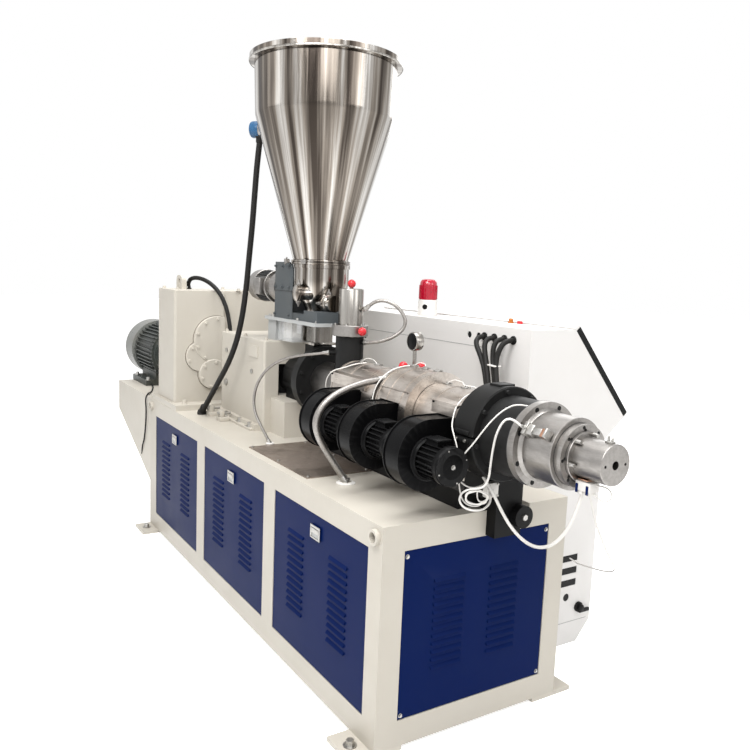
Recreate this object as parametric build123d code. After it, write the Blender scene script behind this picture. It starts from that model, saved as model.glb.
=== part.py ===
from build123d import *
import math
import os

# Conical twin-screw plastic extruder.
# X runs along the screws towards the die, Y to the operator side, Z up. Millimetres.
# Origin: on the floor, in the middle of the four anchor holes of the base.

# Screw line and base
screw_height = 1000.0
base_length = 2400.0
base_width = 755.0
base_top = 732.0
foot_thickness = 15.0
foot_length = 150.0
foot_width = 183.0
foot_overhang = 82.0
anchor_hole_radius = 11.0
frame_depth = 50.0
top_plate = 20.0
rear_post = 110.0
inner_post = 103.0
door_width = 668.0
door_height = 543.0
door_bottom = 103.0
door_thickness = 10.0
door_gap = 2.0
door_recess = 2.0
door_lip = 15.0
end_panel_width = 591.0
latch_length = 62.0
latch_height = 44.0
latch_thickness = 4.0
latch_drop = 60.0
sheet_thickness = 2.0
louvre_length = 118.0
louvre_height = 13.0
louvre_reach = 7.0
louvre_pitch = 26.0
louvre_rows = 12
louvre_top_drop = 118.0
door_louvre_shares = (0.27, 0.73)
panel_louvre_centres = (-120.0, 106.0)
lifting_tube_radius = 25.0
lifting_tube_bore = 17.0
lifting_tube_drop = 40.0
lifting_tube_inset = 38.0
lifting_tube_reach = 14.0
notch_start = 15.0
notch_end = 200.0
notch_depth = 82.0

# Drive end
platform_length = 700.0
platform_depth_outer = 176.0
platform_depth_inner = 469.0
motor_axis_y = -110.0
motor_axis_height = 196.0
motor_body_radius = 150.0
motor_body_length = 330.0
motor_fin_height = 16.0
motor_fin_thickness = 5.0
motor_fin_count = 40
motor_cowl_radius = 178.0
motor_cowl_length = 190.0
motor_front_x = -1590.0
motor_foot_width = 354.0
motor_foot_length = 300.0
motor_foot_thickness = 36.0
motor_shaft_radius = 24.0
motor_box = (120.0, 110.0, 52.0)

# Reduction gearbox
gearbox_inset = 70.0
gearbox_length = 280.0
gearbox_half_width = 355.0
gearbox_top = 1343.0
gearbox_foot_thickness = 28.0
gearbox_foot_reach = 95.0
gearbox_step_y = -90.0
gearbox_step_depth = 30.0
bearing_cover_places = ((-215.0, 1000.0, 80.0, 16.0), (-150.0, 905.0, 78.0, 26.0), (-130.0, 1085.0, 125.0, 20.0))
lug_height = 72.0
lug_thickness = 26.0
lug_width = 90.0
lug_x = -1000.0
lug_y = -270.0

# Distribution gearbox and barrel pedestal
gearbox_gap = 190.0
distribution_length = 525.0
distribution_half_width = 172.0
distribution_top = 1148.0
distribution_foot_reach = 22.0
sight_plate = (-302.0, -201.0, 1064.0, 1118.0)
sight_plate_thickness = 5.0
window_half_width = 100.0
window_height = 145.0
window_bottom = 897.0
window_depth = 60.0
pedestal_half_width = 135.0
pedestal_length = 145.0
pedestal_top = 890.0

# Barrel
barrel_radius = 82.0
throat_radius = 78.0
throat_length = 230.0
rear_flange_thickness = 48.0
rear_flange_radius = 149.0
barrel_length = 1062.0
front_clamp_length = 95.0
front_clamp_radius = 147.0
clamp_slot_end = 80.0
adapter_ring_length = 125.0
adapter_ring_radius = 121.0

# Heater covers: start, length, radius of the arch; wings: rear and front edge
cover_rear = (382.0, 308.0, 116.0)
cover_middle = (752.0, 188.0, 142.0)
cover_front = (942.0, 255.0, 107.0)
wing_rear = (388.0, 640.0)
wing_middle = (760.0, 936.0)
wing_front = (1056.0, 1198.0)
duct_half_span = 60.0
duct_reach = 84.0
duct_upper_reach = 118.0
duct_step_z = 1037.0
duct_top = 1076.0
duct_bottom = 915.0
wing_thickness = 3.0
seam_width = 9.0
seam_height = 2.0
wing_reach = 124.0

# Blowers
blower_first_x = 512.0
blower_pitch = 286.0
blower_count = 3
blower_y = -205.0
blower_z = 917.0
volute_radius = 116.0
volute_width = 84.0
outlet_height = 104.0
volute_start_radius = 84.0
volute_rim = 3.5
volute_rim_thickness = 4.0
outlet_flange_thickness = 5.0
outlet_flange_margin = 8.0
motor_plate_radius = 70.0
motor_plate_thickness = 5.0
terminal_box = (58.0, 46.0, 14.0)
blower_motor_radius = 57.0
blower_motor_length = 118.0
blower_fin_height = 7.0
blower_fin_count = 22

# Front support
rail_start = 300.0
access_plate_x = (115.0, 640.0)
access_plate_edge = -343.0
access_plate_thickness = 4.0
access_plate_gap = 5.0
rail_half_width = 45.0
rail_y = -20.0
rail_height = 60.0
bracket_width = 110.0
bracket_thickness = 40.0
bracket_bottom = 622.0
roller_radius = 37.0
roller_length = 30.0
roller_y = 112.0
roller_z = 716.0

# Vent column
vent_x = 322.0
vent_base_radius = 57.0
vent_base_top = 1212.0
vent_ring_radius = 73.0
vent_ring_top = 1256.0
vent_pot_radius = 50.0
vent_pot_top = 1402.0
knob_radius = 17.0
knob_stem_radius = 5.0

# Valve block and pressure gauge
valve_x = 726.0
valve_half_length = 22.0
valve_span = (-45.0, 92.0)
valve_top = 1112.0
gauge_y = 40.0
gauge_z = 1227.0
gauge_radius = 34.0
gauge_depth = 32.0
gauge_stem_radius = 7.0

# Die adapter and nozzle
die_flange_radius = 126.0
die_flange_thickness = 26.0
adapter_radius = 100.0
adapter_length = 118.0
outer_flange_radius = 88.0
outer_flange_thickness = 24.0
nozzle_radius = 56.0
nozzle_length = 109.0
nozzle_bore = 12.0
spanner_hole_radius = 4.0
spanner_hole_reach = 38.0
spanner_hole_depth = 14.0
die_bolt_circle = 108.0
die_bolt_hole = 7.0
die_bolt_count = 8
outer_bolt_circle = 72.0
outer_bolt_hole = 5.0
outer_bolt_count = 8
plug_angle = 59.0

# Feeder and hopper
feeder_x = 60.0
feeder_plate_z = 1240.0
feeder_plate_thickness = 14.0
feeder_plate = (-255.0, 245.0, -120.0, 120.0)
housing_x = (-165.0, 10.0)
housing_y = (-117.0, 40.0)
housing_top = 1500.0
feeder_motor_y = -45.0
feeder_motor_z = 1388.0
feeder_motor_radius = 74.0
feeder_motor_length = 300.0
pot_top = 1494.0
pot_radius = 119.0
pot_cylinder = 62.0
pot_base_radius = 62.0
pot_base_z = 1290.0
cap_radius = 34.0
cap_reach = 62.0
cap_z = 1372.0
cap_offset = 45.0
chute_bottom = 1150.0
chute_width = 84.0
hopper_wall = 3.0
hopper_flange_radius = 128.0
hopper_flange_thickness = 16.0
hopper_cone_top = 1790.0
hopper_bottom_radius = 119.0
hopper_mid_radius = 194.0
hopper_shoulder = 2185.0
hopper_shoulder_radius = 288.0
hopper_drum_height = 125.0
hopper_radius = 298.0
rim_radius = 318.0
rim_height = 26.0

# Level sensor on the hopper
sensor_angle = -142.0
sensor_z = 2065.0
sensor_radius = 33.0
sensor_reach = 92.0

# Control cabinet on the operator side
cabinet_x = (-405.0, 945.0)
cabinet_back = 403.0
cabinet_leg_front = 833.0
cabinet_toe = 761.0
cabinet_toe_height = 84.0
cabinet_brow_y = 946.0
cabinet_brow_z = 926.0
cabinet_under_z = 835.0
cabinet_top_y = 631.0
cabinet_top = 1285.0
panel_thickness = 22.0
panel_margin = 8.0
cable_hole_places = (590.0, 647.0, 684.0, 743.0, 801.0, 851.0)
cable_hole_radius = 13.0
cable_hole_z = 1237.0
cabinet_recess = 12.0
end_slots = ((642.0, 737.0, 352.0, 380.0), (642.0, 737.0, 300.0, 328.0), (642.0, 737.0, 248.0, 276.0))
end_socket = (688.0, 202.0, 16.0)
operator_door_gap = 3.0
operator_door_z = (130.0, 800.0)
beacon_x = 160.0
beacon_y = 500.0
beacon_radius = 45.0
beacon_base_height = 72.0
beacon_height = 165.0

# Cords: diameter in millimetres
thin_hose_diameter = 12.0
braided_hose_diameter = 24.0
vent_hose_diameter = 14.0
conduit_diameter = 26.0
lug_cable_diameter = 22.0
cable_bundle_diameter = 50.0
die_lead_diameter = 10.0
motor_lead_diameter = 8.0
gland_height = 6.0
gland_reach = 9.0
fitting_radius = 9.0


def block(x0, x1, y0, y1, z0, z1):
    """A box between two corners."""
    middle = ((x0 + x1) / 2, (y0 + y1) / 2, (z0 + z1) / 2)
    return Pos(*middle) * Box(x1 - x0, y1 - y0, z1 - z0)


def rod_x(x0, x1, y, z, radius):
    """A round bar along X."""
    return Pos((x0 + x1) / 2, y, z) * Rot(0, 90, 0) * Cylinder(radius, x1 - x0)


def rod_y(y0, y1, x, z, radius):
    """A round bar along Y."""
    return Pos(x, (y0 + y1) / 2, z) * Rot(90, 0, 0) * Cylinder(radius, y1 - y0)


def rod_z(z0, z1, x, y, radius):
    """A round bar along Z."""
    return Pos(x, y, (z0 + z1) / 2) * Cylinder(radius, z1 - z0)


def side_profile(points, x0, x1):
    """A prism along X from points given as (y, z)."""
    face = make_face(Polyline(*[(x0, y, z) for y, z in points], close=True))
    return extrude(face, amount=x1 - x0, dir=(1, 0, 0))


def tube_along(points, diameter):
    """A cord: straight runs joined by arcs as large as the runs allow."""
    steps = [Vector(*b) - Vector(*a) for a, b in zip(points, points[1:])]
    radii = []
    for before, after in zip(steps, steps[1:]):
        turn = math.radians(before.get_angle(after))
        shorter = min(before.length, after.length)
        radii.append(0.45 * shorter / math.tan(turn / 2))
    path = FilletPolyline(*points, radius=radii)
    start = Plane(origin=points[0], z_dir=steps[0])
    body = sweep(start * Circle(diameter / 2), path=path)
    return body, radii, path.length


# Cord routes
cords = {
    "thin_hose": (thin_hose_diameter, [
        (285.7, -71.3, 1140), (235, -112, 1130), (170, -160, 1116), (105, -203, 1092),
        (58, -245, 1050), (30, -274, 990), (20, -286, 925), (32, -286, 865), (58, -270, 812),
        (97, -241, 738),
    ]),
    "braided_hose": (braided_hose_diameter, [
        (726, -71, 1092), (726, -140, 1090), (727, -212, 1076), (724, -278, 1052),
        (718, -330, 1014), (713, -356, 960), (709, -343, 905), (706, -308, 850),
        (716, -275, 797), (741, -241, 738),
    ]),
    "vent_hose": (vent_hose_diameter, [
        (375.7, 34.9, 1322), (400, 51, 1350), (430, 81, 1364), (470, 118, 1348),
        (500, 148, 1300), (500, 146, 1258), (482, 114, 1222), (450, 76, 1201),
        (415, 45, 1191), (385.9, 30.9, 1190),
    ]),
    "sensor_conduit": (conduit_diameter, [
        (-192, -187, 2032), (-200, -195, 1930), (-210, -200, 1790), (-226, -202, 1650),
        (-254, -202, 1520), (-273, -204, 1395), (-284, -214, 1270), (-310, -229, 1140),
        (-378, -244, 1020), (-470, -260, 915), (-560, -272, 820), (-646, -279, 736),
    ]),
    "gearbox_cable": (lug_cable_diameter, [
        (-1010, -232, 1343), (-1000, -234, 1385), (-955, -222, 1406), (-900, -191, 1402),
        (-850, -155, 1374), (-810, -124, 1326), (-780, -104, 1262), (-757, -94, 1187),
        (-742, -92, 1105), (-731, -95, 1020), (-724, -100, 930), (-721, -105, 835),
        (-722, -108, 734),
    ]),
    "cabinet_cables": (cable_bundle_diameter, [
        (768, cabinet_back, 1236), (770, 372, 1233), (778, 350, 1205), (800, 338, 1150),
        (835, 322, 1085), (868, 306, 1000), (890, 296, 900), (900, 290, 810), (902, 288, base_top),
    ]),
    "motor_lead": (motor_lead_diameter, [
        (-1610, -252, 742), (-1530, -268, 737), (-1430, -300, 738), (-1335, -338, 737),
        (-1275, -368, 745), (-1258, -389, 722), (-1257, -385, 660), (-1266, -384, 590),
        (-1284, -384, 520), (-1312, -383, 462), (-1350, -384, 418), (-1374, -376, 372),
    ]),
    "die_lead": (die_lead_diameter, [
        (1612, -15, 905), (1603, -20, 850), (1578, -27, 788), (1535, -30, 735), (1477, -26, 706),
        (1415, -20, 702), (1357, -20, 724), (1312, -24, 765), (1284, -36, 815), (1258, -60, 866),
    ]),
}


half_length = base_length / 2
half_width = base_width / 2
gearbox_rear_x = -half_length + gearbox_inset
gearbox_front_x = gearbox_rear_x + gearbox_length
distribution_rear_x = gearbox_front_x + gearbox_gap
distribution_front_x = distribution_rear_x + distribution_length
rear_flange_x = distribution_front_x + throat_length
front_clamp_x = rear_flange_x + rear_flange_thickness + barrel_length
hopper_top = hopper_shoulder + hopper_drum_height
front_post = base_length - rear_post - 2 * inner_post - 3 * door_width
door_top = door_bottom + door_height


def door_left_edges():
    """X of each door's rear edge."""
    first = -half_length + rear_post
    return [first + i * (door_width + inner_post) for i in range(3)]


def base_frame():
    """Welded base: posts, rails and top plate round an empty inside."""
    body = block(-half_length, half_length, -half_width, half_width, foot_thickness, base_top)
    body -= block(
        -half_length + frame_depth, half_length - frame_depth,
        -half_width + frame_depth, half_width - frame_depth,
        foot_thickness, base_top - top_plate,
    )
    for x in door_left_edges():
        for side in (-1, 1):
            face = side * half_width
            pocket = side * (door_thickness + door_recess)
            through = side * (frame_depth + 1)
            y0, y1 = sorted((face, face - pocket))
            body -= block(
                x - door_gap, x + door_width + door_gap, y0, y1,
                door_bottom - door_gap, door_top + door_gap,
            )
            y0, y1 = sorted((face, face - through))
            body -= block(
                x + door_lip, x + door_width - door_lip, y0, y1,
                door_bottom + door_lip, door_top - door_lip,
            )
    half_panel = end_panel_width / 2
    body -= block(
        half_length - door_thickness - door_recess, half_length,
        -half_panel - door_gap, half_panel + door_gap,
        door_bottom - door_gap, door_top + door_gap,
    )
    body -= block(
        half_length - frame_depth - 1, half_length,
        -half_panel + door_lip, half_panel - door_lip,
        door_bottom + door_lip, door_top - door_lip,
    )
    body -= block(
        half_length - frame_depth, half_length, notch_start, notch_end,
        base_top - notch_depth, base_top,
    )
    for x, y, side in lifting_places():
        ends = sorted((y + side * lifting_tube_reach, y - side * frame_depth))
        body += rod_y(*ends, x, base_top - lifting_tube_drop, lifting_tube_radius)
        body -= rod_y(*ends, x, base_top - lifting_tube_drop, lifting_tube_bore)
    for name in ("thin_hose", "braided_hose", "sensor_conduit"):
        diameter, points = cords[name]
        x, y, _ = points[-1]
        body += rod_z(base_top, base_top + gland_height, x, y, diameter / 2 + gland_reach)
    return body


def lifting_places():
    """Centre and outward side of each lifting tube."""
    reach = half_length - lifting_tube_inset
    return [(x, side * half_width, side) for x in (-reach, reach) for side in (-1, 1)]


def foot_places():
    """Corners of the base as (x side, y side)."""
    return [(x, y) for x in (-1, 1) for y in (-1, 1)]


anchor_x = half_length - foot_length / 2
anchor_y = half_width + foot_overhang / 2


def foot_plates():
    """Four plates under the corners, each with one anchor hole."""
    plates = []
    for sx, sy in foot_places():
        x0, x1 = sorted((sx * half_length, sx * (half_length - foot_length)))
        y0, y1 = sorted((sy * (half_width + foot_overhang), sy * (half_width + foot_overhang - foot_width)))
        plate = block(x0, x1, y0, y1, 0, foot_thickness)
        plates.append(plate - rod_z(0, foot_thickness, sx * anchor_x, sy * anchor_y, anchor_hole_radius))
    return Compound(plates)


def louvred_pan(width, height, louvre_centres):
    """Sheet pan lying in XZ, its outer face at Y 0 towards -Y, with columns of louvres."""
    pan = block(0, width, 0, door_thickness, 0, height)
    pan -= block(
        sheet_thickness, width - sheet_thickness, sheet_thickness, door_thickness,
        sheet_thickness, height - sheet_thickness,
    )
    hood = [(1, 0), (-louvre_reach, 0), (1, louvre_height)]
    wall = sheet_thickness
    hollow = [(wall, -1), (-louvre_reach + wall, -1), (-louvre_reach + wall, 0), (wall, louvre_height - wall)]
    hoods = []
    hollows = []
    for centre in louvre_centres:
        x0 = centre - louvre_length / 2
        x1 = centre + louvre_length / 2
        for row in range(louvre_rows):
            place = Pos(0, 0, height - louvre_top_drop - row * louvre_pitch)
            hoods.append(place * side_profile(hood, x0, x1))
            hollows.append(place * side_profile(hollow, x0 + wall, x1 - wall))
    return (pan + hoods) - hollows


def side_door_pan():
    """Near side door at the origin, with its recessed latch."""
    columns = [share * door_width for share in door_louvre_shares]
    pan = louvred_pan(door_width, door_height, columns)
    latch_z = door_height - latch_drop
    latch = block(
        door_width / 2 - latch_length / 2, door_width / 2 + latch_length / 2,
        -latch_thickness, sheet_thickness, latch_z - latch_height / 2, latch_z + latch_height / 2,
    )
    return pan + latch


def side_door(pan, x, side):
    """A side door in its opening; the far ones are turned round."""
    face = half_width - door_recess
    if side < 0:
        return Pos(x, -face, door_bottom) * pan
    return Pos(x + door_width, face, door_bottom) * Rot(0, 0, 180) * pan


def front_panel():
    """Louvred sheet panel at the die end of the base."""
    columns = [end_panel_width / 2 + centre for centre in panel_louvre_centres]
    pan = louvred_pan(end_panel_width, door_height, columns)
    return Pos(half_length - door_recess, -end_panel_width / 2, door_bottom) * Rot(0, 0, 90) * pan


def access_plate():
    """Loose steel plate on the base, beside the pedestal."""
    inner = rail_y - rail_half_width - access_plate_gap
    return block(*access_plate_x, access_plate_edge, inner, base_top, base_top + access_plate_thickness)


def motor_platform():
    """Cantilever bracket behind the base that carries the motor."""
    points = [
        (-half_length, base_top),
        (-half_length - platform_length, base_top),
        (-half_length - platform_length, base_top - platform_depth_outer),
        (-half_length, base_top - platform_depth_inner),
    ]
    face = make_face(Polyline(*[(x, -half_width, z) for x, z in points], close=True))
    return extrude(face, amount=base_width, dir=(0, 1, 0))


motor_z = base_top + motor_axis_height
motor_rear_x = motor_front_x - motor_body_length


def main_motor():
    """Finned motor body with its feet."""
    body = rod_x(motor_rear_x, motor_front_x, motor_axis_y, motor_z, motor_body_radius)
    body += rod_x(motor_front_x, motor_front_x + 40, motor_axis_y, motor_z, motor_body_radius - 20)
    fin_tip = motor_body_radius + motor_fin_height
    fin = block(motor_rear_x, motor_front_x, -fin_tip, fin_tip, -motor_fin_thickness / 2, motor_fin_thickness / 2)
    for i in range(motor_fin_count // 2):
        angle = 360.0 * i / motor_fin_count
        body += Pos(0, motor_axis_y, motor_z) * Rot(angle, 0, 0) * fin
    foot_x1 = motor_front_x - 20
    foot_x0 = foot_x1 - motor_foot_length
    half_foot = motor_foot_width / 2
    body += block(
        foot_x0, foot_x1, motor_axis_y - half_foot, motor_axis_y + half_foot,
        base_top, base_top + motor_foot_thickness,
    )
    body += block(
        foot_x0, foot_x1, motor_axis_y - half_foot + 60, motor_axis_y + half_foot - 60,
        base_top, motor_z - motor_body_radius / 2,
    )
    length, width, height = motor_box
    middle_x = (motor_front_x + motor_rear_x) / 2
    top = motor_z + motor_body_radius
    body += block(
        middle_x - length / 2, middle_x + length / 2, motor_axis_y - width / 2,
        motor_axis_y + width / 2, top - 12, top + height - 18,
    )
    return body


def motor_fan_cowl():
    """Domed fan cowl at the back of the motor."""
    x0 = motor_rear_x - motor_cowl_length
    shell = rod_x(x0, motor_rear_x, motor_axis_y, motor_z, motor_cowl_radius)
    shell = fillet(shell.edges().sort_by(Axis.X)[0], 28)
    return shell


def motor_coupling():
    """Shaft and coupling between motor and gearbox."""
    start = motor_front_x + 40
    body = rod_x(start, gearbox_rear_x, motor_axis_y, motor_z, motor_shaft_radius)
    body += rod_x(start + 90, gearbox_rear_x - 90, motor_axis_y, motor_z, 95)
    return body


gearbox_foot_top = base_top + gearbox_foot_thickness


def reduction_gearbox():
    """Tall gearbox case with its foot flange."""
    case = block(
        gearbox_rear_x, gearbox_front_x, -gearbox_half_width, gearbox_half_width,
        base_top, gearbox_top,
    )
    case = fillet(case.edges().filter_by(Axis.Z), 14)
    case -= block(
        gearbox_front_x - gearbox_step_depth, gearbox_front_x, gearbox_step_y,
        gearbox_half_width, gearbox_foot_top, gearbox_top,
    )
    case = fillet(case.edges().group_by(Axis.Z)[-1], 5)
    foot = block(
        gearbox_rear_x - gearbox_foot_reach / 2, gearbox_front_x + gearbox_foot_reach,
        -gearbox_half_width - 20, gearbox_half_width + 20, base_top, gearbox_foot_top,
    )
    return case + foot


def bearing_covers():
    """Overlapping round bearing covers on the front of the gearbox."""
    x = gearbox_front_x
    covers = Part()
    for y, z, radius, thickness in bearing_cover_places:
        disc = rod_x(x, x + thickness, y, z, radius)
        covers += chamfer(disc.edges().sort_by(Axis.X)[-1], 3)
    return covers - block(x, x + gearbox_step_depth, gearbox_step_y, gearbox_half_width, base_top, gearbox_top)


def lifting_lug():
    """Drilled lug on top of the gearbox."""
    x = lug_x
    y = lug_y
    lug = block(x - lug_width / 2, x + lug_width / 2, y - lug_thickness / 2, y + lug_thickness / 2,
                gearbox_top, gearbox_top + lug_height)
    lug = fillet(lug.edges().filter_by(Axis.Y).group_by(Axis.Z)[-1], 30)
    return lug - rod_y(y - lug_thickness, y + lug_thickness, x, gearbox_top + lug_height - 32, 16)


def distribution_gearbox():
    """Low gearbox that drives the two screws, on its foot flange."""
    case = block(
        distribution_rear_x, distribution_front_x, -distribution_half_width,
        distribution_half_width, base_top, distribution_top,
    )
    case = fillet(case.edges().filter_by(Axis.Z), 10)
    case = fillet(case.edges().group_by(Axis.Z)[-1], 6)
    case -= block(
        distribution_front_x - window_depth, distribution_front_x,
        -window_half_width, window_half_width, window_bottom, window_bottom + window_height,
    )
    reach = distribution_half_width + distribution_foot_reach
    foot = block(
        distribution_rear_x - 30, distribution_front_x - 40, -reach, reach,
        base_top, base_top + gearbox_foot_thickness,
    )
    x0, x1, z0, z1 = sight_plate
    case += block(x0, x1, -distribution_half_width - sight_plate_thickness, -distribution_half_width, z0, z1)
    neck = rod_x(gearbox_front_x - gearbox_step_depth, distribution_rear_x, 0, screw_height, 85)
    return case + foot + neck


def barrel_pedestal():
    """White block under the feed throat."""
    x0 = distribution_front_x
    return block(
        x0, x0 + pedestal_length, -pedestal_half_width, pedestal_half_width,
        base_top, pedestal_top,
    )


def feed_throat():
    """Dark throat between the distribution gearbox and the barrel flange."""
    x0 = distribution_front_x - window_depth
    body = rod_x(x0, rear_flange_x, 0, window_bottom + window_height / 2, window_height / 2 - 4)
    body += rod_x(distribution_front_x, rear_flange_x, 0, screw_height, throat_radius)
    body += block(feeder_x - 45, rear_flange_x, -45, 45, screw_height, chute_bottom)
    body += block(
        distribution_front_x, distribution_front_x + pedestal_length, -60, 60,
        pedestal_top, screw_height - 40,
    )
    return body


def rear_flange():
    """Black flange disc at the back of the barrel."""
    return rod_x(
        rear_flange_x, rear_flange_x + rear_flange_thickness, 0, screw_height, rear_flange_radius,
    )


def barrel():
    """Bare steel barrel between the two flanges."""
    return rod_x(
        rear_flange_x + rear_flange_thickness, front_clamp_x, 0, screw_height, barrel_radius,
    )


def blower_x(i):
    """X of the rear face of a blower's housing."""
    return blower_first_x + i * blower_pitch


def heater_cover(start, length, radius, wing, duct_x):
    """Arched sheet cover over the heaters, with its flat wing and the air duct below."""
    arch = rod_x(start, start + length, 0, screw_height, radius)
    for x in (start, start + length - seam_width):
        arch += rod_x(x, x + seam_width, 0, screw_height, radius + seam_height)
    duct = block(duct_x - duct_half_span, duct_x + duct_half_span, -duct_reach, 0, duct_bottom, duct_top)
    duct += block(*wing, -duct_upper_reach, 0, duct_step_z, duct_top)
    lid = block(*wing, -wing_reach, 0, duct_top, duct_top + wing_thickness)
    cover = arch + duct + lid
    cover -= block(
        duct_x - duct_half_span, duct_x + duct_half_span, -radius - 10, -duct_reach,
        duct_bottom - 60, duct_step_z,
    )
    return cover - rod_x(start - 200, start + length + 200, 0, screw_height, barrel_radius)


def volute_outline(x, margin):
    """Scroll outline at a given X: it opens from the outlet's lip round to the outlet's top."""
    def spot(turn):
        growth = (volute_radius - volute_start_radius) * turn / 360.0
        angle = math.radians(90.0 + 360.0 - turn)
        radius = volute_radius - growth + margin
        return (x, blower_y - radius * math.cos(angle), blower_z + radius * math.sin(angle))

    arcs = [ThreePointArc(spot(t), spot(t + 45), spot(t + 90)) for t in (0, 90, 180)]
    end = spot(270)
    lip_z = blower_z + volute_radius - outlet_height - margin
    top_z = blower_z + volute_radius + margin
    face_y = -duct_reach - outlet_flange_thickness
    lines = Polyline(end, (x, face_y, lip_z), (x, face_y, top_z), spot(0))
    return make_face(arcs + [lines])


def blower_housing(i):
    """Scroll fan housing with rimmed cheeks, its outlet flanged to the duct."""
    x0 = blower_x(i)
    x1 = x0 + volute_width
    along = (1, 0, 0)
    body = extrude(volute_outline(x0, 0), amount=volute_width, dir=along)
    body += extrude(volute_outline(x0, volute_rim), amount=volute_rim_thickness, dir=along)
    rim_start = x1 - volute_rim_thickness
    body += extrude(volute_outline(rim_start, volute_rim), amount=volute_rim_thickness, dir=along)
    body += rod_x(x1, x1 + motor_plate_thickness, blower_y, blower_z, motor_plate_radius)
    outlet_top = blower_z + volute_radius
    margin = outlet_flange_margin
    flange = block(
        x0 - margin, x1 + margin, -duct_reach - outlet_flange_thickness, -duct_reach,
        outlet_top - outlet_height - margin, outlet_top,
    )
    return body + flange


def blower_motor(i):
    """Finned motor on the die side of a blower, with its terminal box."""
    x0 = blower_x(i) + volute_width + motor_plate_thickness
    body = rod_x(x0, x0 + blower_motor_length, blower_y, blower_z, blower_motor_radius - 6)
    tip = blower_motor_radius
    fin = block(x0, x0 + blower_motor_length - 18, -tip, tip, -2, 2)
    for k in range(blower_fin_count // 2):
        body += Pos(0, blower_y, blower_z) * Rot(360.0 * k / blower_fin_count, 0, 0) * fin
    body += rod_x(
        x0 + blower_motor_length - 18, x0 + blower_motor_length, blower_y, blower_z,
        blower_motor_radius,
    )
    length, width, height = terminal_box
    box_z = blower_z + blower_motor_radius - 4
    body += block(
        x0 + 12, x0 + 12 + length, blower_y - width / 2, blower_y + width / 2, box_z - 8, box_z + height,
    )
    return body


def front_clamp():
    """Black split clamp round the die end of the barrel."""
    x1 = front_clamp_x + front_clamp_length
    ring = rod_x(front_clamp_x, x1, 0, screw_height, front_clamp_radius)
    ring = chamfer(ring.edges(), 4)
    slot = block(front_clamp_x, x1, -front_clamp_radius, -clamp_slot_end, screw_height - 3, screw_height + 3)
    return ring - slot


adapter_ring_x = front_clamp_x + front_clamp_length
die_x = adapter_ring_x + adapter_ring_length


def adapter_ring():
    """Black ring between clamp and die."""
    return rod_x(adapter_ring_x, die_x, 0, screw_height, adapter_ring_radius)


def support_rail():
    """Black channel along the base under the barrel."""
    return block(
        rail_start, half_length - frame_depth, rail_y - rail_half_width, rail_y + rail_half_width,
        base_top, base_top + rail_height,
    )


def support_bracket():
    """Black bracket in the notch of the end rail, with the post that carries the clamp."""
    y0 = notch_start + 2
    y1 = y0 + bracket_width
    body = block(
        half_length - frame_depth, half_length + bracket_thickness, y0, y1,
        base_top - notch_depth, base_top + rail_height,
    )
    post_rear = min(front_clamp_x + 5, half_length - frame_depth)
    post_front = max(front_clamp_x + 35, half_length + bracket_thickness)
    body += block(post_rear, post_front, y0 - 60, y1, base_top + rail_height, screw_height)
    x1 = half_length + bracket_thickness
    body += rod_x(x1 - 1, x1 + roller_length, roller_y, roller_z, roller_radius)
    return body - rod_x(0, die_x, 0, screw_height, front_clamp_radius)


def side_fitting(tip, radius, reach):
    """Short hose fitting that stands out of the vent column and ends at a point."""
    out = Vector(tip[0] - vent_x, tip[1], 0).normalized()
    root = Vector(vent_x, 0, tip[2]) + out * (radius - 10)
    return Plane(origin=root, z_dir=out) * Pos(0, 0, (reach + 10) / 2) * Cylinder(
        fitting_radius, reach + 10)


def vent_base():
    """Black column foot on the barrel."""
    body = rod_z(screw_height, vent_base_top, vent_x, 0, vent_base_radius)
    for name, end, reach in (("thin_hose", 0, 23), ("vent_hose", -1, 14)):
        body += side_fitting(cords[name][1][end], vent_base_radius, reach)
    return body - rod_x(0, 1000, 0, screw_height, barrel_radius)


def vent_ring():
    """Aluminium ring on the column foot."""
    return rod_z(vent_base_top, vent_ring_top, vent_x, 0, vent_ring_radius)


def vent_pot():
    """Steel vent pot."""
    pot = rod_z(vent_ring_top, vent_pot_top, vent_x, 0, vent_pot_radius)
    pot = fillet(pot.edges().sort_by(Axis.Z)[-1], 4)
    return pot + side_fitting(cords["vent_hose"][1][0], vent_pot_radius, 14)


def knob_on_stem(base, direction, stem):
    """Ball knob on a short stem, starting at a point."""
    step = Vector(*direction).normalized()
    origin = Vector(*base)
    shaft = Plane(origin=origin, z_dir=step) * Pos(0, 0, stem / 2) * Cylinder(knob_stem_radius, stem)
    ball_centre = origin + step * (stem + knob_radius * 0.8)
    return shaft + Pos(*ball_centre) * Sphere(knob_radius)


def valve_block():
    """Black block between the covers, with the hose fitting on its near side."""
    body = block(
        valve_x - valve_half_length, valve_x + valve_half_length, *valve_span,
        screw_height, valve_top,
    )
    body -= rod_x(0, front_clamp_x, 0, screw_height, barrel_radius)
    return body + rod_y(valve_span[0] - 26, valve_span[0], valve_x, 1092, 15)


def valve_knobs():
    """Four ball knobs: two on the vent, two on the valve block."""
    side = (vent_x + vent_ring_radius - 1, 0, 1236)
    ring = rod_z(vent_base_top, vent_ring_top, vent_x, 0, vent_ring_radius)
    return Compound([
        knob_on_stem((vent_x, 0, vent_pot_top), (0, 0, 1), 6),
        knob_on_stem(side, (1, 0, 0), 10) - ring,
        knob_on_stem((valve_x, -8, valve_top), (0, 0, 1), 12),
        knob_on_stem((valve_x, 72, valve_top), (0, 0, 1), 8),
    ])


def pressure_gauge():
    """Gauge on a stem, its face towards the die."""
    stem = rod_z(valve_top, gauge_z - gauge_radius + 4, valve_x, gauge_y, gauge_stem_radius)
    head = rod_x(
        valve_x - gauge_depth / 2, valve_x + gauge_depth / 2, gauge_y, gauge_z, gauge_radius,
    )
    head = fillet(head.edges(), 3)
    return stem + head


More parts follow.
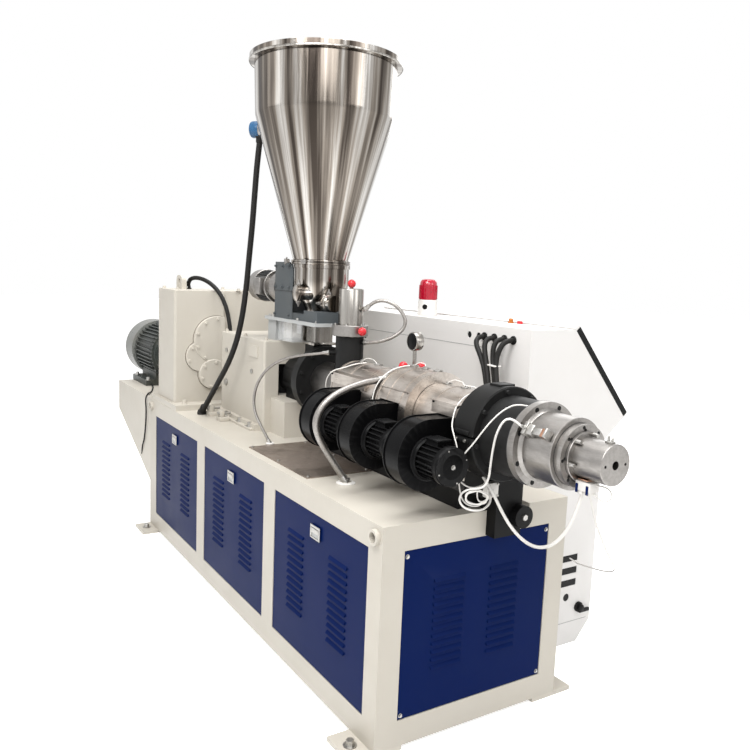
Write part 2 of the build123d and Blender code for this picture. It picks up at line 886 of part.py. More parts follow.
def ring_of_holes(x0, x1, circle, radius, count, start):
    """Holes along X on a bolt circle round the screw line."""
    holes = []
    for i in range(count):
        angle = math.radians(start + 360.0 * i / count)
        holes.append(rod_x(
            x0, x1, circle * math.cos(angle), screw_height + circle * math.sin(angle), radius,
        ))
    return holes


adapter_front_x = die_x + die_flange_thickness + adapter_length
nozzle_front_x = adapter_front_x + outer_flange_thickness + nozzle_length


def die_adapter():
    """Aluminium adapter: bolted flange and body."""
    body = rod_x(die_x, die_x + die_flange_thickness, 0, screw_height, die_flange_radius)
    for hole in ring_of_holes(die_x, die_x + die_flange_thickness, die_bolt_circle + 5,
                              die_bolt_hole, die_bolt_count, 22.5):
        body -= hole
    body += rod_x(die_x + die_flange_thickness, adapter_front_x, 0, screw_height, adapter_radius)
    return body - rod_x(die_x, adapter_front_x, 0, screw_height, nozzle_bore)


def die_flange():
    """Outer flange that holds the nozzle."""
    x1 = adapter_front_x + outer_flange_thickness
    body = rod_x(adapter_front_x, x1, 0, screw_height, outer_flange_radius)
    for hole in ring_of_holes(x1 - 10, x1, outer_bolt_circle, outer_bolt_hole, outer_bolt_count, 0):
        body -= hole
    return body - rod_x(adapter_front_x, x1, 0, screw_height, nozzle_bore)


def nozzle():
    """Round nozzle with its flow bore."""
    x0 = adapter_front_x + outer_flange_thickness
    body = rod_x(x0, nozzle_front_x, 0, screw_height, nozzle_radius)
    body = fillet(body.edges().sort_by(Axis.X)[-1], 3)
    for y in (-spanner_hole_reach, spanner_hole_reach):
        body -= rod_x(nozzle_front_x - spanner_hole_depth, nozzle_front_x, y, screw_height, spanner_hole_radius)
    return body - rod_x(x0, nozzle_front_x, 0, screw_height, nozzle_bore)


def heater_plugs():
    """Plug on the adapter, plug under the nozzle and terminal on the nozzle."""
    x0 = die_x + die_flange_thickness + 8
    plug = block(x0, x0 + 96, -18, 18, adapter_radius, adapter_radius + 34)
    plug = Pos(0, 0, screw_height) * Rot(plug_angle, 0, 0) * plug
    nozzle_x = adapter_front_x + outer_flange_thickness
    under = block(nozzle_x + 6, nozzle_x + 66, -34, 4, 905, screw_height - nozzle_radius)
    top = block(nozzle_front_x - 34, nozzle_front_x - 10, -9, 9,
                screw_height + nozzle_radius, screw_height + nozzle_radius + 14)
    return Compound([plug, under, top])


def feeder_base_plate():
    """Flange plate under the feeder, on two spacers."""
    x0, x1, y0, y1 = feeder_plate
    plate = block(x0, x1, y0, y1, feeder_plate_z, feeder_plate_z + feeder_plate_thickness)
    for y in (-85, 85):
        plate += block(-245, -165, y - 20, y + 20, distribution_top, feeder_plate_z)
    return plate


def feed_chute():
    """Chute from the feeder down to the throat."""
    x0 = feeder_x - chute_width / 2
    return block(x0, x0 + chute_width, -chute_width / 2, chute_width / 2, chute_bottom, feeder_plate_z)


def feeder_housing():
    """Grey gear housing beside the pot."""
    x0, x1 = housing_x
    y0, y1 = housing_y
    z0 = feeder_plate_z + feeder_plate_thickness
    body = block(x0, x1, y0, y1, z0, housing_top)
    body = fillet(body.edges().filter_by(Axis.Z), 12)
    body += block(x1 - 20, feeder_plate[1] - 10, y0 + 10, y1, z0, z0 + 46)
    body -= rod_z(pot_top - 2, housing_top + 10, feeder_x - 10, 0, hopper_flange_radius + 2)
    return body - rod_z(z0 + 30, pot_top, feeder_x, 0, pot_radius + 1)


def feeder_motor():
    """Small motor on the back of the feeder housing."""
    x1 = housing_x[0]
    x0 = x1 - feeder_motor_length
    z = feeder_motor_z
    body = rod_x(x0 + 70, x1 - 60, feeder_motor_y, z, feeder_motor_radius - 10)
    body += rod_x(x0, x0 + 70, feeder_motor_y, z, feeder_motor_radius)
    body += rod_x(x1 - 60, x1, feeder_motor_y, z, feeder_motor_radius - 2)
    return body


def feed_pot():
    """Steel pot under the hopper, tapering to the feed screw."""
    z0 = feeder_plate_z + feeder_plate_thickness + 46
    shoulder = pot_top - pot_cylinder
    pot = rod_z(shoulder, pot_top, feeder_x, 0, pot_radius)
    pot += Pos(feeder_x, 0, (z0 + shoulder) / 2) * Cone(pot_base_radius, pot_radius, shoulder - z0)
    pot += rod_y(-pot_radius - 30, 0, feeder_x + cap_offset, cap_z, cap_radius)
    pot += rod_x(feeder_x, feeder_x + 175, -25, z0 + 34, 34)
    pot -= rod_z(shoulder - 20, pot_top, feeder_x, 0, pot_radius - 6)
    return pot


def hopper():
    """Thin steel hopper: flange, two cones and a short drum, open through."""
    wall = hopper_wall
    outline = [
        (hopper_bottom_radius - wall, pot_top),
        (hopper_flange_radius, pot_top),
        (hopper_flange_radius, pot_top + hopper_flange_thickness),
        (hopper_bottom_radius, pot_top + hopper_flange_thickness),
        (hopper_mid_radius, hopper_cone_top),
        (hopper_shoulder_radius, hopper_shoulder),
        (hopper_radius, hopper_top),
        (rim_radius, hopper_top),
        (rim_radius, hopper_top + rim_height),
        (hopper_radius - wall, hopper_top + rim_height),
        (hopper_shoulder_radius - wall, hopper_shoulder),
        (hopper_mid_radius - wall, hopper_cone_top),
        (hopper_bottom_radius - wall, pot_top + hopper_flange_thickness),
    ]
    face = make_face(Polyline(*[(r, 0, z) for r, z in outline], close=True))
    return Pos(feeder_x - 10, 0, 0) * revolve(face, Axis.Z)


def level_sensor():
    """Level sensor on the side of the hopper."""
    angle = math.radians(sensor_angle)
    out = Vector(math.cos(angle), math.sin(angle), 0)
    share = (sensor_z - hopper_cone_top) / (hopper_shoulder - hopper_cone_top)
    wall_radius = hopper_mid_radius + share * (hopper_shoulder_radius - hopper_mid_radius)
    start = Vector(feeder_x - 10, 0, sensor_z) + out * (wall_radius - 20)
    body = Plane(origin=start, z_dir=out) * Pos(0, 0, (sensor_reach + 20) / 2) * Cylinder(
        sensor_radius, sensor_reach + 20)
    filler = Pos(feeder_x - 10, 0, (hopper_cone_top + hopper_shoulder) / 2) * Cone(
        hopper_mid_radius, hopper_shoulder_radius, hopper_shoulder - hopper_cone_top)
    return body - filler


def control_cabinet():
    """Desk cabinet on the operator side."""
    points = [
        (cabinet_back, 0),
        (cabinet_toe, 0),
        (cabinet_leg_front, cabinet_toe_height),
        (cabinet_leg_front, cabinet_under_z),
        (cabinet_brow_y, cabinet_brow_z),
        (cabinet_top_y, cabinet_top),
        (cabinet_back, cabinet_top),
    ]
    body = side_profile(points, *cabinet_x)
    for x in cable_hole_places[:2]:
        body -= rod_y(cabinet_back, cabinet_back + cabinet_recess, x, cable_hole_z, cable_hole_radius)
    end = cabinet_x[1]
    for y0, y1, z0, z1 in end_slots:
        body -= block(end - cabinet_recess, end, y0, y1, z0, z1)
    y, z, radius = end_socket
    body -= rod_x(end - cabinet_recess, end, y, z, radius)
    z0, z1 = operator_door_z
    length = cabinet_x[1] - cabinet_x[0]
    front = cabinet_leg_front
    for share in (0.04, 0.5, 0.96):
        x = cabinet_x[0] + share * length
        body -= block(x, x + operator_door_gap, front - operator_door_gap, front, z0, z1)
    for z in operator_door_z:
        x0 = cabinet_x[0] + 0.04 * length
        x1 = cabinet_x[0] + 0.96 * length + operator_door_gap
        body -= block(x0, x1, front - operator_door_gap, front, z, z + operator_door_gap)
    return body


def control_panel():
    """Sloping panel sheet on the desk."""
    slope = Vector(0, cabinet_brow_y - cabinet_top_y, cabinet_brow_z - cabinet_top)
    along = slope.normalized()
    out = Vector(0, -along.Z, along.Y)
    low = Vector(0, cabinet_brow_y, cabinet_brow_z)
    high = Vector(0, cabinet_top_y, cabinet_top) - along * panel_margin
    corners = [low, high, high + out * panel_thickness, low + out * panel_thickness]
    return side_profile([(c.Y, c.Z) for c in corners], *cabinet_x)


def beacon():
    """Warning beacon on top of the cabinet."""
    z0 = cabinet_top
    base = rod_z(z0, z0 + beacon_base_height, beacon_x, beacon_y, beacon_radius)
    dome = rod_z(z0 + beacon_base_height, z0 + beacon_height, beacon_x, beacon_y, beacon_radius - 2)
    dome = fillet(dome.edges().sort_by(Axis.Z)[-1], 18)
    return base + dome


nodes = {
    "base_frame": base_frame(),
    "foot_plates": foot_plates(),
    "front_panel": front_panel(),
    "access_plate": access_plate(),
    "motor_platform": motor_platform(),
    "main_motor": main_motor(),
    "motor_fan_cowl": motor_fan_cowl(),
    "motor_coupling": motor_coupling(),
    "reduction_gearbox": reduction_gearbox(),
    "bearing_covers": bearing_covers(),
    "lifting_lug": lifting_lug(),
    "distribution_gearbox": distribution_gearbox(),
    "barrel_pedestal": barrel_pedestal(),
    "feed_throat": feed_throat(),
    "rear_flange": rear_flange(),
    "barrel": barrel(),
    "front_clamp": front_clamp(),
    "adapter_ring": adapter_ring(),
    "support_rail": support_rail(),
    "support_bracket": support_bracket(),
    "vent_base": vent_base(),
    "vent_ring": vent_ring(),
    "vent_pot": vent_pot(),
    "valve_block": valve_block(),
    "valve_knobs": valve_knobs(),
    "pressure_gauge": pressure_gauge(),
    "die_adapter": die_adapter(),
    "die_flange": die_flange(),
    "nozzle": nozzle(),
    "heater_plugs": heater_plugs(),
    "feeder_base_plate": feeder_base_plate(),
    "feed_chute": feed_chute(),
    "feeder_housing": feeder_housing(),
    "feeder_motor": feeder_motor(),
    "feed_pot": feed_pot(),
    "hopper": hopper(),
    "level_sensor": level_sensor(),
    "control_cabinet": control_cabinet(),
    "control_panel": control_panel(),
    "beacon": beacon(),
}
door_pan = side_door_pan()
for name, x in zip(("rear", "middle", "front"), door_left_edges()):
    nodes["near_door_" + name] = side_door(door_pan, x, -1)
nodes["far_doors"] = Compound([side_door(door_pan, x, 1) for x in door_left_edges()])
for i, (name, cover) in enumerate(
    (("rear", cover_rear), ("middle", cover_middle), ("front", cover_front))
):
    wing = (wing_rear, wing_middle, wing_front)[i]
    nodes["heater_cover_" + name] = heater_cover(*cover, wing, blower_x(i) + volute_width / 2)
    nodes["blower_" + name] = blower_housing(i)
nodes["blower_motors"] = Compound([blower_motor(i) for i in range(blower_count)])
for name, (diameter, points) in cords.items():
    nodes[name], radii, length = tube_along(points, diameter)
    worst = min(radii)
    print(name, "length", round(length), "least radius", round(worst), "dia", round(worst / diameter, 1))

os.makedirs("parts", exist_ok=True)
for name, shape in nodes.items():
    export_step(shape, "parts/" + name + ".step")
print(len(nodes), "nodes")
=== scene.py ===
import math
import bmesh
import bpy
from mathutils import Matrix, Vector


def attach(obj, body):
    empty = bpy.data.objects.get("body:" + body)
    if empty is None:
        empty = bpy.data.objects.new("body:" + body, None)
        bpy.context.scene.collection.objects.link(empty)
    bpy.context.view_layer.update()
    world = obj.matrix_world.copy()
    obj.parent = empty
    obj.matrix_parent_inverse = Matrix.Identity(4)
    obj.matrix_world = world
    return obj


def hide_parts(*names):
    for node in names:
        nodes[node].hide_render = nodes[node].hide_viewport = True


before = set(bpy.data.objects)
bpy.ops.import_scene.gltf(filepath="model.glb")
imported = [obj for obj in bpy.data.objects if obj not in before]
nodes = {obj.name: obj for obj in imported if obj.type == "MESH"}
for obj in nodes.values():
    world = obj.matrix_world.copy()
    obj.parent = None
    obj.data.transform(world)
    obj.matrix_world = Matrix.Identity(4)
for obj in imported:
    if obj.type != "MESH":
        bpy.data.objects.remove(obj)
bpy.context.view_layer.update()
scene = bpy.context.scene
mm = 0.001  # shapes and routes are written in millimetres, and the scene is in metres
print("frame loaded:", len(nodes), "nodes")


# nodes of any tree: an input is linked where it is given a socket, and set otherwise
def setInputs(tree, node, inputs):
    for label, value in inputs.items():
        if hasattr(value, "links"):
            tree.links.new(value, node.inputs[label])
        elif value is not None:
            node.inputs[label].default_value = value
    return node


def addNode(tree, kind, inputs=None, **settings):
    node = tree.nodes.new(kind)
    for label, value in settings.items():
        setattr(node, label, value)
    return setInputs(tree, node, inputs or {})


def mathNode(tree, operation, a, b=None):
    return addNode(tree, "ShaderNodeMath", {0: a, 1: b}, operation=operation).outputs[0]


def blendColours(tree, share, a, b):
    return addNode(tree, "ShaderNodeMix", {0: share, 6: a, 7: b}, data_type="RGBA").outputs[2]


def noiseNode(tree, vector, size, detail=3.0, rough=0.55):
    inputs = {"Vector": vector, "Scale": size, "Detail": detail, "Roughness": rough}
    return addNode(tree, "ShaderNodeTexNoise", inputs).outputs["Fac"]


def spanNode(tree, value, low, high, outLow=0.0, outHigh=1.0):
    inputs = {"Value": value, "From Min": low, "From Max": high, "To Min": outLow, "To Max": outHigh}
    return addNode(tree, "ShaderNodeMapRange", inputs).outputs[0]


def objectPlace(tree):
    return addNode(tree, "ShaderNodeTexCoord").outputs["Object"]


# rays that see the pale background: the camera's, and those through glass or off metal
def seenRays(tree):
    path = addNode(tree, "ShaderNodeLightPath").outputs
    seen = mathNode(tree, "MAXIMUM", path["Is Camera Ray"], path["Is Transmission Ray"])
    return mathNode(tree, "MAXIMUM", seen, path["Is Glossy Ray"])


groupOutputs = {"Color": "NodeSocketColor", "Roughness": "NodeSocketFloat", "Height": "NodeSocketFloat"}


def newGroup(name, inputs):
    group = bpy.data.node_groups.new(name, "ShaderNodeTree")
    for label, value in inputs.items():
        kind = "NodeSocketFloat"
        if isinstance(value, tuple):
            kind = "NodeSocketColor" if len(value) == 4 else "NodeSocketVector"
        group.interface.new_socket(label, in_out="INPUT", socket_type=kind).default_value = value
    for label, kind in groupOutputs.items():
        group.interface.new_socket(label, in_out="OUTPUT", socket_type=kind)
    return group, group.nodes.new("NodeGroupInput").outputs


# paint: soft blotches, dust that gathers in noise, rubbed edges, fine orange peel
def makePaintGroup():
    group, given = newGroup("machinePaint", {
        "Paint": (0.8, 0.8, 0.8, 1), "Grime": (0.3, 0.27, 0.22, 1), "Rubbed": (0.9, 0.9, 0.9, 1),
        "Grime Amount": 0.2, "Edge Amount": 0.3, "Patch Size": 4.0, "Peel Size": 260.0,
        "Roughness Low": 0.35, "Roughness High": 0.55})
    place = objectPlace(group)
    patches = noiseNode(group, place, given["Patch Size"], 6.0, 0.62)
    specks = noiseNode(group, place, 55.0, 4.0, 0.7)
    dust = mathNode(group, "MULTIPLY", spanNode(group, patches, 0.42, 0.78), given["Grime Amount"])
    dots = mathNode(group, "MULTIPLY", spanNode(group, specks, 0.68, 0.74), given["Grime Amount"])
    edge = addNode(group, "ShaderNodeNewGeometry").outputs["Pointiness"]
    edge = mathNode(group, "MULTIPLY", spanNode(group, edge, 0.53, 0.62), given["Edge Amount"])
    body = blendColours(group, mathNode(group, "ADD", dust, dots), given["Paint"], given["Grime"])
    addNode(group, "NodeGroupOutput", {
        "Color": blendColours(group, edge, body, given["Rubbed"]),
        "Roughness": spanNode(group, patches, 0.3, 0.7, given["Roughness Low"], given["Roughness High"]),
        "Height": noiseNode(group, place, given["Peel Size"], 2.0)})
    return group


# metal: long brush lines along one axis, with darker clouds of handling marks
def makeMetalGroup():
    group, given = newGroup("workedMetal", {
        "Metal": (0.7, 0.7, 0.7, 1), "Shade": (0.4, 0.38, 0.35, 1), "Brush Stretch": (1.0, 1.0, 40.0),
        "Line Size": 30.0, "Line Amount": 0.4, "Cloud Amount": 0.35,
        "Roughness Low": 0.2, "Roughness High": 0.4})
    place = objectPlace(group)
    brushed = {0: place, 1: given["Brush Stretch"]}
    stretched = addNode(group, "ShaderNodeVectorMath", brushed, operation="MULTIPLY").outputs[0]
    lines = noiseNode(group, stretched, given["Line Size"], 4.0, 0.7)
    clouds = noiseNode(group, place, 9.0, 5.0, 0.6)
    lineShare = mathNode(group, "MULTIPLY", spanNode(group, lines, 0.4, 0.65), given["Line Amount"])
    cloudShare = mathNode(group, "MULTIPLY", spanNode(group, clouds, 0.45, 0.75), given["Cloud Amount"])
    share = mathNode(group, "MINIMUM", mathNode(group, "ADD", lineShare, cloudShare), 1.0)
    addNode(group, "NodeGroupOutput", {
        "Color": blendColours(group, share, given["Metal"], given["Shade"]),
        "Roughness": spanNode(group, lines, 0.3, 0.7, given["Roughness Low"], given["Roughness High"]),
        "Height": lines})
    return group


paintGroup = makePaintGroup()
metalGroup = makeMetalGroup()
print("shader groups built")


def startMaterial(name):
    made = bpy.data.materials.new(name)
    made.use_nodes = True
    tree = made.node_tree
    tree.nodes.clear()
    shader = addNode(tree, "ShaderNodeBsdfPrincipled")
    addNode(tree, "ShaderNodeOutputMaterial", {"Surface": shader.outputs[0]})
    return made, tree, shader


def groupMaterial(name, group, values, bump, bumpDistance, ownInputs):
    made, tree, shader = startMaterial(name)
    worked = addNode(tree, "ShaderNodeGroup", values, node_tree=group).outputs
    relief = {"Strength": bump, "Distance": bumpDistance, "Height": worked["Height"]}
    setInputs(tree, shader, {
        "Base Color": worked["Color"], "Roughness": worked["Roughness"],
        "Normal": addNode(tree, "ShaderNodeBump", relief).outputs[0], **ownInputs})
    return made


def paint(name, colour, rough, grime=(0.32, 0.27, 0.2), amount=0.2, edge=0.3, patch=4.0, peel=260.0,
          coat=0.0, shine=0.3):
    rubbed = [min(1, c * 1.25 + 0.03) for c in colour]
    return groupMaterial(name, paintGroup, {
        "Paint": (*colour, 1), "Grime": (*grime, 1), "Rubbed": (*rubbed, 1),
        "Grime Amount": amount, "Edge Amount": edge, "Patch Size": patch, "Peel Size": peel,
        "Roughness Low": rough[0], "Roughness High": rough[1],
    }, 0.12, 0.0006, {"Specular IOR Level": shine, "Coat Weight": coat, "Coat Roughness": 0.12})


def metal(name, colour, shade, rough, stretch=(1, 1, 1), lineSize=60.0, lines=0.3, clouds=0.25, bump=0.08):
    return groupMaterial(name, metalGroup, {
        "Metal": (*colour, 1), "Shade": (*shade, 1), "Brush Stretch": stretch, "Line Size": lineSize,
        "Line Amount": lines, "Cloud Amount": clouds, "Roughness Low": rough[0], "Roughness High": rough[1],
    }, bump, 0.0004, {"Metallic": 1.0})


# hopper steel: mirror polish, with painted reflection: dark, middle and bright bands round the cone stand for
# the surroundings it mirrors
hopperSteelLook = {
    "centre": (0.05, 0.0, 0.0),
    "bands": ((0.40, (0.055, 0.045, 0.038, 1)), (0.50, (0.24, 0.21, 0.18, 1)), (0.64, (0.70, 0.68, 0.65, 1))),
    "reflectionBandSize": 4.2,
    "fineSize": 26.0,
    "lean": (0.05, 0.05, 0.12),
}


def makeHopperSteel(look):
    made, tree, shader = startMaterial("hopperSteelPaintedReflection")
    place = addNode(tree, "ShaderNodeMapping", {
        "Location": look["centre"], "Vector": objectPlace(tree)}, vector_type="TEXTURE").outputs[0]
    flat = addNode(tree, "ShaderNodeVectorMath", {0: place, 1: (1, 1, 0)}, operation="MULTIPLY")
    around = addNode(tree, "ShaderNodeVectorMath", {0: flat.outputs[0]}, operation="NORMALIZE")
    lean = addNode(tree, "ShaderNodeVectorMath", {
        0: place, 1: look["lean"], 2: around.outputs[0]}, operation="MULTIPLY_ADD").outputs[0]
    # painted reflection: wide bands and finer streaks leaning round the axis choose dark, middle or bright
    # steel
    bands = noiseNode(tree, lean, look["reflectionBandSize"], 2.0, 0.4)
    fine = noiseNode(tree, lean, look["fineSize"], 3.0, 0.5)
    wide, narrow = (mathNode(tree, "MULTIPLY", *given) for given in ((bands, 0.8), (fine, 0.2)))
    mixed = mathNode(tree, "ADD", wide, narrow)
    ramp = addNode(tree, "ShaderNodeValToRGB", {0: mixed})
    dark, middle, bright = look["bands"]
    ends = ramp.color_ramp.elements
    ends[0].position, ends[0].color = dark
    ends[1].position, ends[1].color = bright
    ends.new(middle[0]).color = middle[1]
    setInputs(tree, shader, {
        "Base Color": ramp.outputs[0], "Roughness": spanNode(tree, fine, 0.3, 0.7, 0.1, 0.24),
        "Metallic": 1.0})
    return made


def plainGlass(name, colour, rough, alpha):
    made, tree, shader = startMaterial(name)
    speck = noiseNode(tree, objectPlace(tree), 40.0)
    setInputs(tree, shader, {
        "Roughness": spanNode(tree, speck, 0.3, 0.7, *rough), "Base Color": (*colour, 1), "Alpha": alpha,
        "Coat Weight": 0.5})
    return made


looks = {
    "cream": paint("creamPaint", (0.50, 0.468, 0.41), (0.36, 0.5), amount=0.12, edge=0.2),
    "blue": paint("bluePaint", (0.001, 0.0085, 0.064), (0.3, 0.42), grime=(0.010, 0.02, 0.06), shine=0.03),
    "black": paint("blackSteel", (0.006, 0.006, 0.006), (0.34, 0.5), grime=(0.035, 0.033, 0.03), amount=0.14,
                   patch=7.0, shine=0.09),
    "gloss": paint("blackGloss", (0.003, 0.003, 0.0033), (0.2, 0.32), grime=(0.02, 0.019, 0.018), amount=0.10,
                   edge=0.4, patch=9.0, shine=0.055),
    "grey": paint("cabinetGrey", (0.69, 0.675, 0.66), (0.36, 0.5), amount=0.06, edge=0.15, peel=320.0),
    "seam": paint("seamGrey", (0.28, 0.28, 0.28), (0.45, 0.6), amount=0.1, edge=0.1, shine=0.2),
    "oil": paint("jointBrown", (0.07, 0.05, 0.035), (0.2, 0.35), edge=0.0),
    "greyDark": paint("trimGrey", (0.03, 0.033, 0.036), (0.4, 0.55), amount=0.1, shine=0.16),
    "green": paint("motorGreen", (0.030, 0.036, 0.033), (0.3, 0.45), edge=0.5, patch=9.0, shine=0.15),
    "cowl": paint("cowlGrey", (0.15, 0.155, 0.145), (0.25, 0.4), edge=0.4, patch=8.0),
    "slate": paint("feederGrey", (0.055, 0.065, 0.072), (0.35, 0.5), amount=0.12, shine=0.14),
    "plate": paint("plateGrey", (0.36, 0.37, 0.37), (0.35, 0.5), amount=0.15),
    "red": paint("knobRed", (0.55, 0.012, 0.02), (0.18, 0.28), amount=0.06, edge=0.1, coat=0.25),
    "amber": paint("amberFitting", (0.42, 0.13, 0.02), (0.2, 0.3), amount=0.1, edge=0.1),
    "greenLamp": paint("lampGreen", (0.02, 0.26, 0.06), (0.18, 0.28), amount=0.05, edge=0.1),
    "sensorBlue": paint("sensorBlue", (0.02, 0.09, 0.2), (0.3, 0.4), amount=0.15, shine=0.25),
    "white": paint("whitePlastic", (0.70, 0.68, 0.65), (0.3, 0.45), amount=0.08, edge=0.1),
    "rubber": paint("cableRubber", (0.012, 0.0115, 0.011), (0.42, 0.6), grime=(0.05, 0.045, 0.04), edge=0.1,
                    peel=500.0, shine=0.16),
    "steel": metal("bareSteel", (0.21, 0.20, 0.19), (0.10, 0.085, 0.075), (0.3, 0.48)),
    "sheet": metal("coverSheet", (0.56, 0.515, 0.47), (0.19, 0.15, 0.125), (0.24, 0.42), stretch=(0.12, 1, 1),
                   lineSize=110.0, lines=0.25, clouds=0.6),
    "stainless": metal("potStainless", (0.44, 0.42, 0.39), (0.15, 0.135, 0.12), (0.16, 0.3),
                       stretch=(1, 1, 0.02), lineSize=42.0, lines=0.8),
    "aluminium": metal("dieAluminium", (0.31, 0.295, 0.28), (0.12, 0.113, 0.106), (0.28, 0.42),
                       stretch=(0.25, 1, 1), lineSize=90.0, lines=0.25, clouds=0.4),
    "brown": metal("plateBrown", (0.36, 0.305, 0.265), (0.17, 0.14, 0.12), (0.42, 0.6), lineSize=24.0,
                   clouds=0.7),
    "zinc": metal("boltZinc", (0.44, 0.43, 0.41), (0.22, 0.21, 0.19), (0.25, 0.4), lineSize=200.0),
    "copper": metal("connectorCopper", (0.50, 0.28, 0.19), (0.26, 0.15, 0.10), (0.25, 0.4), lineSize=80.0),
    "braid": metal("hoseBraid", (0.36, 0.34, 0.32), (0.13, 0.12, 0.11), (0.35, 0.5), lineSize=300.0,
                   lines=0.7, bump=0.6),
    "hopper": makeHopperSteel(hopperSteelLook),
    "beaconGlass": plainGlass("beaconRed", (0.42, 0.003, 0.022), (0.08, 0.16), 0.95),
    "clear": plainGlass("clearSheet", (0.85, 0.87, 0.88), (0.05, 0.12), 0.28),
}

nodeLooks = {
    "cream": ["base_frame", "foot_plates", "motor_platform", "reduction_gearbox", "bearing_covers",
              "lifting_lug", "distribution_gearbox", "barrel_pedestal"],
    "blue": ["front_panel", "near_door_rear", "near_door_middle", "near_door_front", "far_doors"],
    "brown": ["access_plate"],
    "green": ["main_motor"],
    "cowl": ["motor_fan_cowl"],
    "steel": ["motor_coupling", "barrel"],
    "black": ["feed_throat", "rear_flange", "front_clamp", "adapter_ring", "support_rail", "support_bracket",
              "vent_base", "valve_block"],
    "gloss": ["blower_rear", "blower_middle", "blower_front", "blower_motors"],
    "aluminium": ["die_adapter", "die_flange", "nozzle", "feeder_motor"],
    "stainless": ["feed_chute"],
    "plate": ["feeder_base_plate"],
    "slate": ["feeder_housing"],
    "grey": ["control_cabinet", "control_panel"],
    "sheet": ["heater_cover_rear", "heater_cover_middle", "heater_cover_front"],
}
for look, names in nodeLooks.items():
    for name in names:
        for slot in nodes[name].material_slots:
            slot.material = looks[look]
print("materials set on the solids")


# cords, hoses and cables: look, diameter, length, stiffness and the points they run through
def cordCurve(name, points, diameter, look):
    data = bpy.data.curves.new(name, "CURVE")
    data.dimensions = "3D"
    data.bevel_depth = diameter / 2
    data.bevel_resolution = 4
    data.resolution_u = 10
    data.use_fill_caps = True
    line = data.splines.new("NURBS")
    line.points.add(len(points) - 1)
    for spot, given in zip(line.points, points):
        spot.co = (*given, 1.0)
    line.order_u = 3
    line.use_endpoint_u = True
    data.materials.append(looks[look])
    piece = bpy.data.objects.new(name, data)
    scene.collection.objects.link(piece)
    return piece


def layCord(name, look, diameter, length, stiffness, route):
    points = [tuple(value * mm for value in spot) for spot in route]
    cord = cordCurve(name, points, diameter * mm, look)
    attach(cord, "root")
    return cord


cordRoutes = {
    "thin_hose": ("braid", 12, 652, "medium", [
        (285.7, -71.3, 1140), (235, -112, 1130), (170, -160, 1116), (105, -203, 1092), (58, -245, 1050),
        (30, -274, 990), (20, -286, 925), (32, -286, 865), (58, -270, 812), (97, -241, 738)]),
    "braided_hose": ("braid", 24, 591, "medium", [
        (726, -71, 1092), (726, -140, 1090), (727, -212, 1076), (724, -278, 1052), (718, -330, 1014),
        (713, -356, 960), (709, -343, 905), (706, -308, 850), (716, -275, 797), (741, -241, 738)]),
    "vent_hose": ("braid", 14, 425, "medium", [
        (375.7, 34.9, 1322), (400, 51, 1350), (430, 81, 1364), (470, 118, 1348), (500, 148, 1300),
        (500, 146, 1258), (482, 114, 1222), (450, 76, 1201), (415, 45, 1191), (385.9, 30.9, 1190)]),
    "sensor_conduit": ("rubber", 26, 1432, "stiff", [
        (-192, -187, 2032), (-200, -195, 1930), (-210, -200, 1790), (-226, -202, 1650), (-254, -202, 1520),
        (-273, -204, 1395), (-284, -214, 1270), (-310, -229, 1140), (-378, -244, 1020), (-470, -260, 915),
        (-560, -272, 820), (-646, -279, 736)]),
    "gearbox_cable": ("rubber", 22, 897, "stiff", [
        (-1010, -232, 1343), (-1000, -234, 1385), (-955, -222, 1406), (-900, -191, 1402), (-850, -155, 1374),
        (-810, -124, 1326), (-780, -104, 1262), (-757, -94, 1187), (-742, -92, 1105), (-731, -95, 1020),
        (-724, -100, 930), (-721, -105, 835), (-722, -108, 734)]),
    "cabinet_cables": ("rubber", 20, 580, "stiff", [
        (684, 403, 1238), (686, 370, 1238), (700, 344, 1215), (752, 334, 1165), (792, 324, 1110),
        (838, 306, 1000), (862, 296, 900), (871, 290, 810), (873, 288, 732)]),
    "cabinet_cables.2": ("rubber", 20, 560, "stiff", [
        (743, 403, 1238), (745, 370, 1238), (752, 344, 1215), (782, 332, 1160), (815, 318, 1100),
        (858, 300, 1000), (882, 290, 900), (891, 284, 810), (893, 282, 732)]),
    "cabinet_cables.3": ("rubber", 20, 560, "stiff", [
        (801, 403, 1238), (802, 372, 1238), (800, 350, 1216), (809, 342, 1160), (838, 330, 1100),
        (880, 311, 1000), (903, 300, 900), (912, 294, 810), (914, 292, 732)]),
    "cabinet_cables.4": ("rubber", 20, 560, "stiff", [
        (851, 403, 1238), (850, 372, 1238), (842, 348, 1216), (836, 334, 1160), (858, 322, 1100),
        (900, 303, 1000), (923, 293, 900), (932, 287, 810), (934, 285, 732)]),
    "motor_lead": ("rubber", 8, 766, "limp", [
        (-1610, -252, 742), (-1530, -268, 737), (-1430, -300, 738), (-1335, -338, 737), (-1275, -368, 745),
        (-1258, -389, 722), (-1257, -385, 660), (-1266, -384, 590), (-1284, -384, 520), (-1312, -383, 462),
        (-1350, -384, 418), (-1374, -376, 372)]),
    "die_lead": ("white", 10, 558, "limp", [
        (1612, -15, 905), (1603, -20, 850), (1578, -27, 788), (1535, -30, 735), (1477, -26, 706),
        (1415, -20, 702), (1357, -20, 724), (1312, -24, 765), (1284, -36, 815), (1258, -60, 866)]),
}
for name, facts in cordRoutes.items():
    cable = layCord(name.replace("_", "").replace(".", "") + "Run", *facts)
    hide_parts(name.split(".")[0])
print("cords laid")

upward, forward, nearward, farward = (0, 0, 1), (1, 0, 0), (0, -1, 0), (0, 1, 0)


def keepPiece(name, mesh, look, replaced=(), sharp=32):
    if not mesh.materials:
        mesh.materials.append(looks[look])
    mesh.shade_smooth()
    mesh.set_sharp_from_angle(angle=math.radians(sharp))
    piece = bpy.data.objects.new(name, mesh)
    scene.collection.objects.link(piece)
    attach(piece, "root")
    for node in replaced:
        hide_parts(node)


